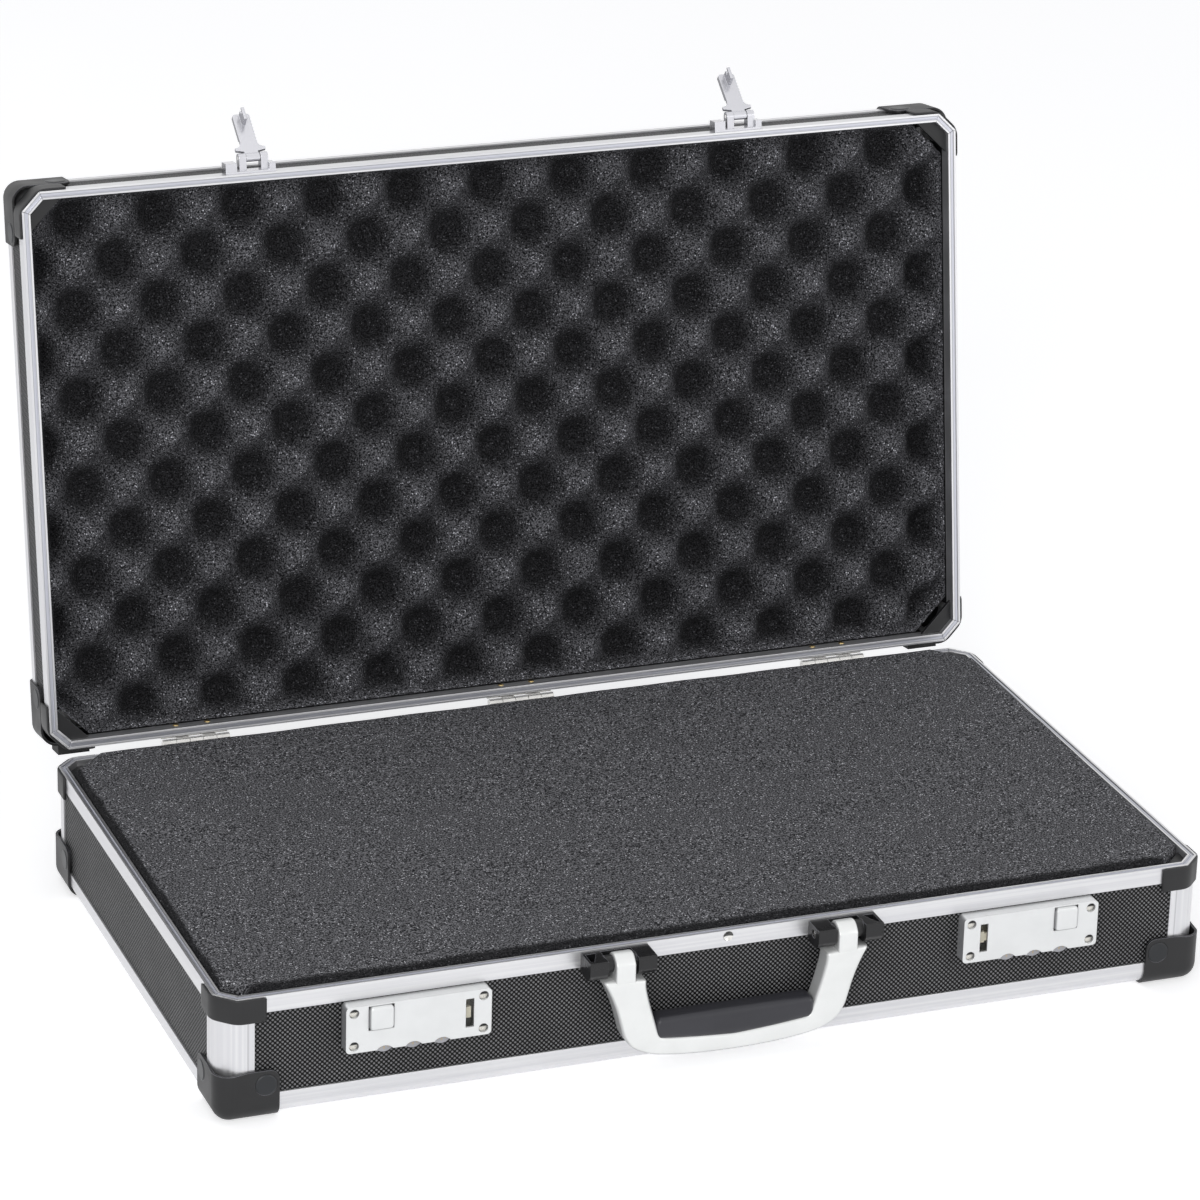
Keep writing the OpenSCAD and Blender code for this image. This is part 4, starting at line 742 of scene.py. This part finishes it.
# A head seen from the side: out from the front panel, and the height from the rim, in mm.
head_knots = np.array([
    [4.4, -19.5], [3.6, -15.5], [3.6, -12], [3.2, -9.2], [2.2, -7.0], [2.2, -4.6],
    [3.3, -2.0], [5.5, -0.1], [8.3, 0.6], [11.0, 0.2], [13.4, -1.3], [15.2, -3.3],
    [15.9, -4.6], [16.1, -6.0], [16.1, -11], [16.15, -15], [15.2, -19.5]]) / 1000


def cast_finish(name, colour, metallic, rough, soft_edge, side_shade):
    """Lacquered casting: a fine orange-peel grain under an even gloss. Faces that turn sideways
    or down in the world's axes are greyer by side_shade, painted in to match the photograph."""
    finish, tree, shader = new_finish(name, Metallic=metallic, Specular_IOR_Level=0.5)
    point = own_point(tree)
    grain = noise(tree, point, 900.0, 2.0)
    clouds = noise(tree, point, 60.0, 4.0)
    facing = add_node(tree, "SeparateXYZ", {0: add_node(tree, "NewGeometry").outputs["Normal"]}).outputs
    down = calc(tree, "MULTIPLY", facing[2], -1.0)
    turned = calc(tree, "MAXIMUM", calc(tree, "ABSOLUTE", facing[0]), down)
    tint = shades(tree, ramp(tree, clouds, *cloud_range), colour, dimmed(colour, 0.96))
    tint = shades(tree, ramp(tree, turned, 0.25, 0.85, 0.0, side_shade), tint, cast_shade)
    gloss = ramp(tree, clouds, *noise_range, rough - 0.03, rough + 0.04)
    tree.links.new(tint, shader.inputs["Base Color"])
    tree.links.new(gloss, shader.inputs["Roughness"])
    raise_surface(tree, shader, grain, 0.00001, soft_edge)
    return finish


path = smooth_path(np.concatenate([arm_pairs, (arm_pairs * [-1, 1, -1, 1])[-2::-1]]), 6)
inner, outer = path[:, :2], path[:, 2:]
middle, span = (inner + outer) / 2, np.linalg.norm(outer - inner, axis=1)
towards = (outer - inner) / span[:, None]
end_inset = np.zeros(len(path))
end_inset[[0, -1]] = neck_inset
section_a, section_b = rounded_section(span / 2 - end_inset, (frame_front - frame_back) / 2 - end_inset,
                                       edge_round, 7)
front_share = np.maximum(0, section_b / section_b.max())
crowned = bar_crown * front_share * (2 * section_a / span[:, None]) ** 2
arms = np.stack([middle[:, :1] + towards[:, :1] * section_a,
                 front_plane - (frame_front + frame_back) / 2 - section_b + crowned,
                 rim_plane + middle[:, 1:] + towards[:, 1:] * section_a], -1)
head_curve = smooth_path(head_knots, 4)
slope = np.gradient(head_curve, axis=0)
slope = slope / np.linalg.norm(slope, axis=1, keepdims=True)
inward = np.stack([slope[:, 1], -slope[:, 0]], -1)
quarter = np.linspace(0, math.pi / 2, 6)
head_across = np.concatenate([arm_in + head_edge * (1 - np.cos(quarter)),
                              arm_out - head_edge * (1 - np.cos(quarter[::-1]))])
head_inset = head_edge * np.concatenate([1 - np.sin(quarter), 1 - np.sin(quarter[::-1])])
head_line = head_curve[None] + head_inset[:, None, None] * inward[None]
heads = []
for side_x in (-1, 1):
    head_x = side_x * head_across[:, None] + 0 * head_line[..., 0]
    head = np.stack([head_x, front_plane - head_line[..., 0], rim_plane + head_line[..., 1]], -1)
    heads.append(capped(closed_round(head)))
handle_frame = grid_piece("handle_casting", capped(closed_round(arms)), *heads)
handle_frame.data.materials.append(cast_finish("handle_lacquer", cast_colour, 0.25, 0.36, 0.0, 0.45))
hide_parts("handle_frame")
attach(handle_frame, "handle")


# Handle grip and brackets: a soft rubber grip sits in the casting, and two black
# moulded brackets carry the pivot pins. Each bracket is screwed through the rim.
grip_half, grip_top, grip_sunk = 0.0478, -0.0412, 0.0012
grip_thick, grip_out = 0.0071, 0.0094
grip_end, grip_square = 0.003, 0.52
end_height, end_thick = 0.55, 0.7
grip_colour = (0.036, 0.036, 0.043, 1)
bracket_colour = (0.012, 0.012, 0.013, 1)
# The seam between grip and casting: x, and the height from the rim.
seam_x = np.array([-48, -45, -22, 0, 22, 45, 48]) / 1000
seam_z = np.array([-52.0, -53.4, -55.9, -57.4, -55.9, -53.4, -52.0]) / 1000

grip_x = grip_half * np.sin(np.linspace(-math.pi / 2, math.pi / 2, 64))
grip_low = np.interp(grip_x, seam_x, seam_z) - grip_sunk
end_fall = np.minimum(1, (grip_half - np.abs(grip_x)) / grip_end)
grip_shrink = np.sqrt(1 - (1 - end_fall) ** 2)
around = np.linspace(0, 2 * math.pi, 49)[None, :-1]
squared_cos = np.sign(np.cos(around)) * np.abs(np.cos(around)) ** grip_square
squared_sin = np.sign(np.sin(around)) * np.abs(np.sin(around)) ** grip_square
height_share = end_height + (1 - end_height) * grip_shrink
half_height = ((grip_top - grip_low) / 2 * height_share)[:, None]
half_thick = (grip_thick * (end_thick + (1 - end_thick) * grip_shrink))[:, None]
grip = np.stack([grip_x[:, None] + 0 * half_thick * squared_cos,
                 front_plane - grip_out - half_thick * squared_cos,
                 rim_plane + ((grip_top + grip_low) / 2)[:, None] + half_height * squared_sin], -1)
handle_grip = grid_piece("handle_rubber_grip", capped(closed_round(grip)))
handle_grip.data.materials.append(moulded_finish("grip_rubber", grip_colour, 0.36, 0.0007, 0.00004, 0.0))
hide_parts("handle_grip")
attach(handle_grip, "handle")
# The brackets carry a painted highlight on their upward edges.
bracket_plastic = moulded_finish("bracket_plastic", bracket_colour, 0.30, 0.0006, 0.00002, 0.0005, 0.8)
cover("handle_bracket_left", bracket_plastic)
cover("handle_bracket_right", bracket_plastic)


# Locks: each a pressed housing with a silver lacquer, and a pale catch behind the slot.
# Four plated screws hold each to its back plate. Their upper halves are painted dark, in
# place of a reflection.
screw_middle, screw_rise = 0.0508, 0.0100
screw_light, screw_dark = (0.80, 0.78, 0.72, 1), (0.62, 0.60, 0.55, 1)
screw_fade = (-0.0003, 0.0006)
lacquer_colour = (0.81, 0.82, 0.82, 1)
catch_colour = (0.76, 0.72, 0.58, 1)
lock_lacquer = cast_finish("lock_lacquer", lacquer_colour, 0.20, 0.38, 0.0006, 0.75)
screw_finish, screw_tree, screw_shader = new_finish("lock_screw_steel", Metallic=0.5)
screw_point = own_point(screw_tree)
screw_z = add_node(screw_tree, "SeparateXYZ", {0: screw_point}).outputs[2]
from_middle = calc(screw_tree, "SUBTRACT", screw_z, screw_middle)
row_height = calc(screw_tree, "MULTIPLY", calc(screw_tree, "SIGN", from_middle), screw_rise)
screw_level = calc(screw_tree, "SUBTRACT", from_middle, row_height)
screw_grain = noise(screw_tree, screw_point, 700.0, 3.0)
screw_metal = shades(screw_tree, screw_grain, screw_light, screw_dark)
screw_tint = shades(screw_tree, ramp(screw_tree, screw_level, *screw_fade), screw_metal, shadow_colour)
screw_gloss = ramp(screw_tree, screw_grain, *noise_range, 0.25, 0.35)
screw_tree.links.new(screw_tint, screw_shader.inputs["Base Color"])
screw_tree.links.new(screw_gloss, screw_shader.inputs["Roughness"])
cover("lock_screws", screw_finish)
catch_plastic = moulded_finish("catch_plastic", catch_colour, 0.40, 0.0005, 0.00003, 0.0002)
for side in ("left", "right"):
    cover(f"lock_{side}_housing", lock_lacquer)
    cover(f"lock_{side}_catch", catch_plastic)


# Push buttons: square pads with a wide soft bevel and rounded corners, lacquered like
# the locks. Each stands in its housing's window and slides in against a spring. Each step
# of a pad is its half width, how far out it lies, and the radius of its corners, in mm.
lock_centre, button_offset = 0.1862, 0.022
button_height = rim_plane - 0.0193
button_steps = np.array([
    [7.2, 4.6, 2.4], [7.2, 6.8, 2.4], [7.15, 7.7, 2.35], [6.95, 8.3, 2.2],
    [6.45, 8.75, 1.9], [5.9, 8.93, 1.6], [5.0, 9.0, 1.2]]) / 1000
for side, sign in (("left", -1), ("right", 1)):
    pads = [rounded_section([half], [half], soft, 7) for half, _, soft in button_steps]
    pad_a, pad_b = (np.concatenate([pad[k] for pad in pads]) for k in (0, 1))
    pad = np.stack([sign * (lock_centre + button_offset) + pad_a,
                    front_plane - button_steps[:, 1:2] + 0 * pad_a, button_height + pad_b], -1)
    button = grid_piece(f"lock_{side}_push_pad", capped(closed_round(pad)))
    button.data.materials.append(lock_lacquer)
    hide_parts(f"lock_{side}_button")
    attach(button, f"button_{side}")


# Number dials: grey plastic wheels that stand out below each lock, with the ten plain
# numbers 0 to 9 printed in gold round their faces. A number is a flat shape just off
# the dial's face.
dial_places, dial_height, dial_face = (0.1724, 0.1892, 0.2060), 0.0405, 0.0053
dial_colour, gold_colour = (0.42, 0.42, 0.445, 1), (0.62, 0.42, 0.12, 1)
digit_count, digit_ring, digit_size, digit_lift = 10, 0.0037, 0.0023, 0.00003
dial_plastic = moulded_finish("dial_plastic", dial_colour, 0.38, 0.0004, 0.00003, 0.0004)
digit_paint = moulded_finish("digit_gold", gold_colour, 0.40, 0.0004, 0.00001, 0.0)
digit_shapes = []
for number in range(digit_count):
    letter = bpy.data.curves.new("number", "FONT")
    letter.body = str(number)
    letter.size = digit_size
    letter.align_x, letter.align_y = "CENTER", "CENTER"
    letter.resolution_u = 3
    holder = bpy.data.objects.new("number", letter)
    flat_mesh = bpy.data.meshes.new_from_object(holder)
    corners = np.empty(3 * len(flat_mesh.vertices))
    flat_mesh.vertices.foreach_get("co", corners)
    digit_shapes.append((corners.reshape(-1, 3), [list(face.vertices) for face in flat_mesh.polygons]))
    bpy.data.objects.remove(holder)
    bpy.data.meshes.remove(flat_mesh)
for side, sign in (("left", -1), ("right", 1)):
    for dial, distance in enumerate(dial_places, 1):
        cover(f"lock_{side}_dial_{dial}", dial_plastic)
        points, faces, start = [], [], 0
        for number, (flat, cells) in enumerate(digit_shapes):
            turn = math.radians(360 * number / digit_count)
            u, v = flat[:, 0], flat[:, 1] - digit_ring
            points.append(np.stack([sign * distance + u * math.cos(turn) - v * math.sin(turn),
                                    np.full(len(flat), front_plane - dial_face - digit_lift),
                                    dial_height + u * math.sin(turn) + v * math.cos(turn)], -1))
            faces += [[start + corner for corner in cell] for cell in cells]
            start += len(flat)
        mesh = bpy.data.meshes.new(f"dial_numbers_{side}_{dial}")
        mesh.from_pydata(np.concatenate(points).tolist(), [], faces)
        mesh.update()
        numbers = bpy.data.objects.new(f"dial_numbers_{side}_{dial}", mesh)
        bpy.context.scene.collection.objects.link(numbers)
        mesh.materials.append(digit_paint)
        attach(numbers, f"dial_{side}_{dial}")


# Latches: bright cast hasps that turn on pins in cast brackets, riveted through the lid's
# rim. Shut, each hasp's fin stands in the slot of the lock below it.
hasp_colour = (0.70, 0.70, 0.74, 1)
hasp_metal = cast_finish("hasp_metal", hasp_colour, 0.70, 0.22, 0.0005, 0.80)
for side in ("left", "right"):
    cover(f"hasp_{side}", hasp_metal)
    cover(f"hasp_{side}_bracket", hasp_metal)
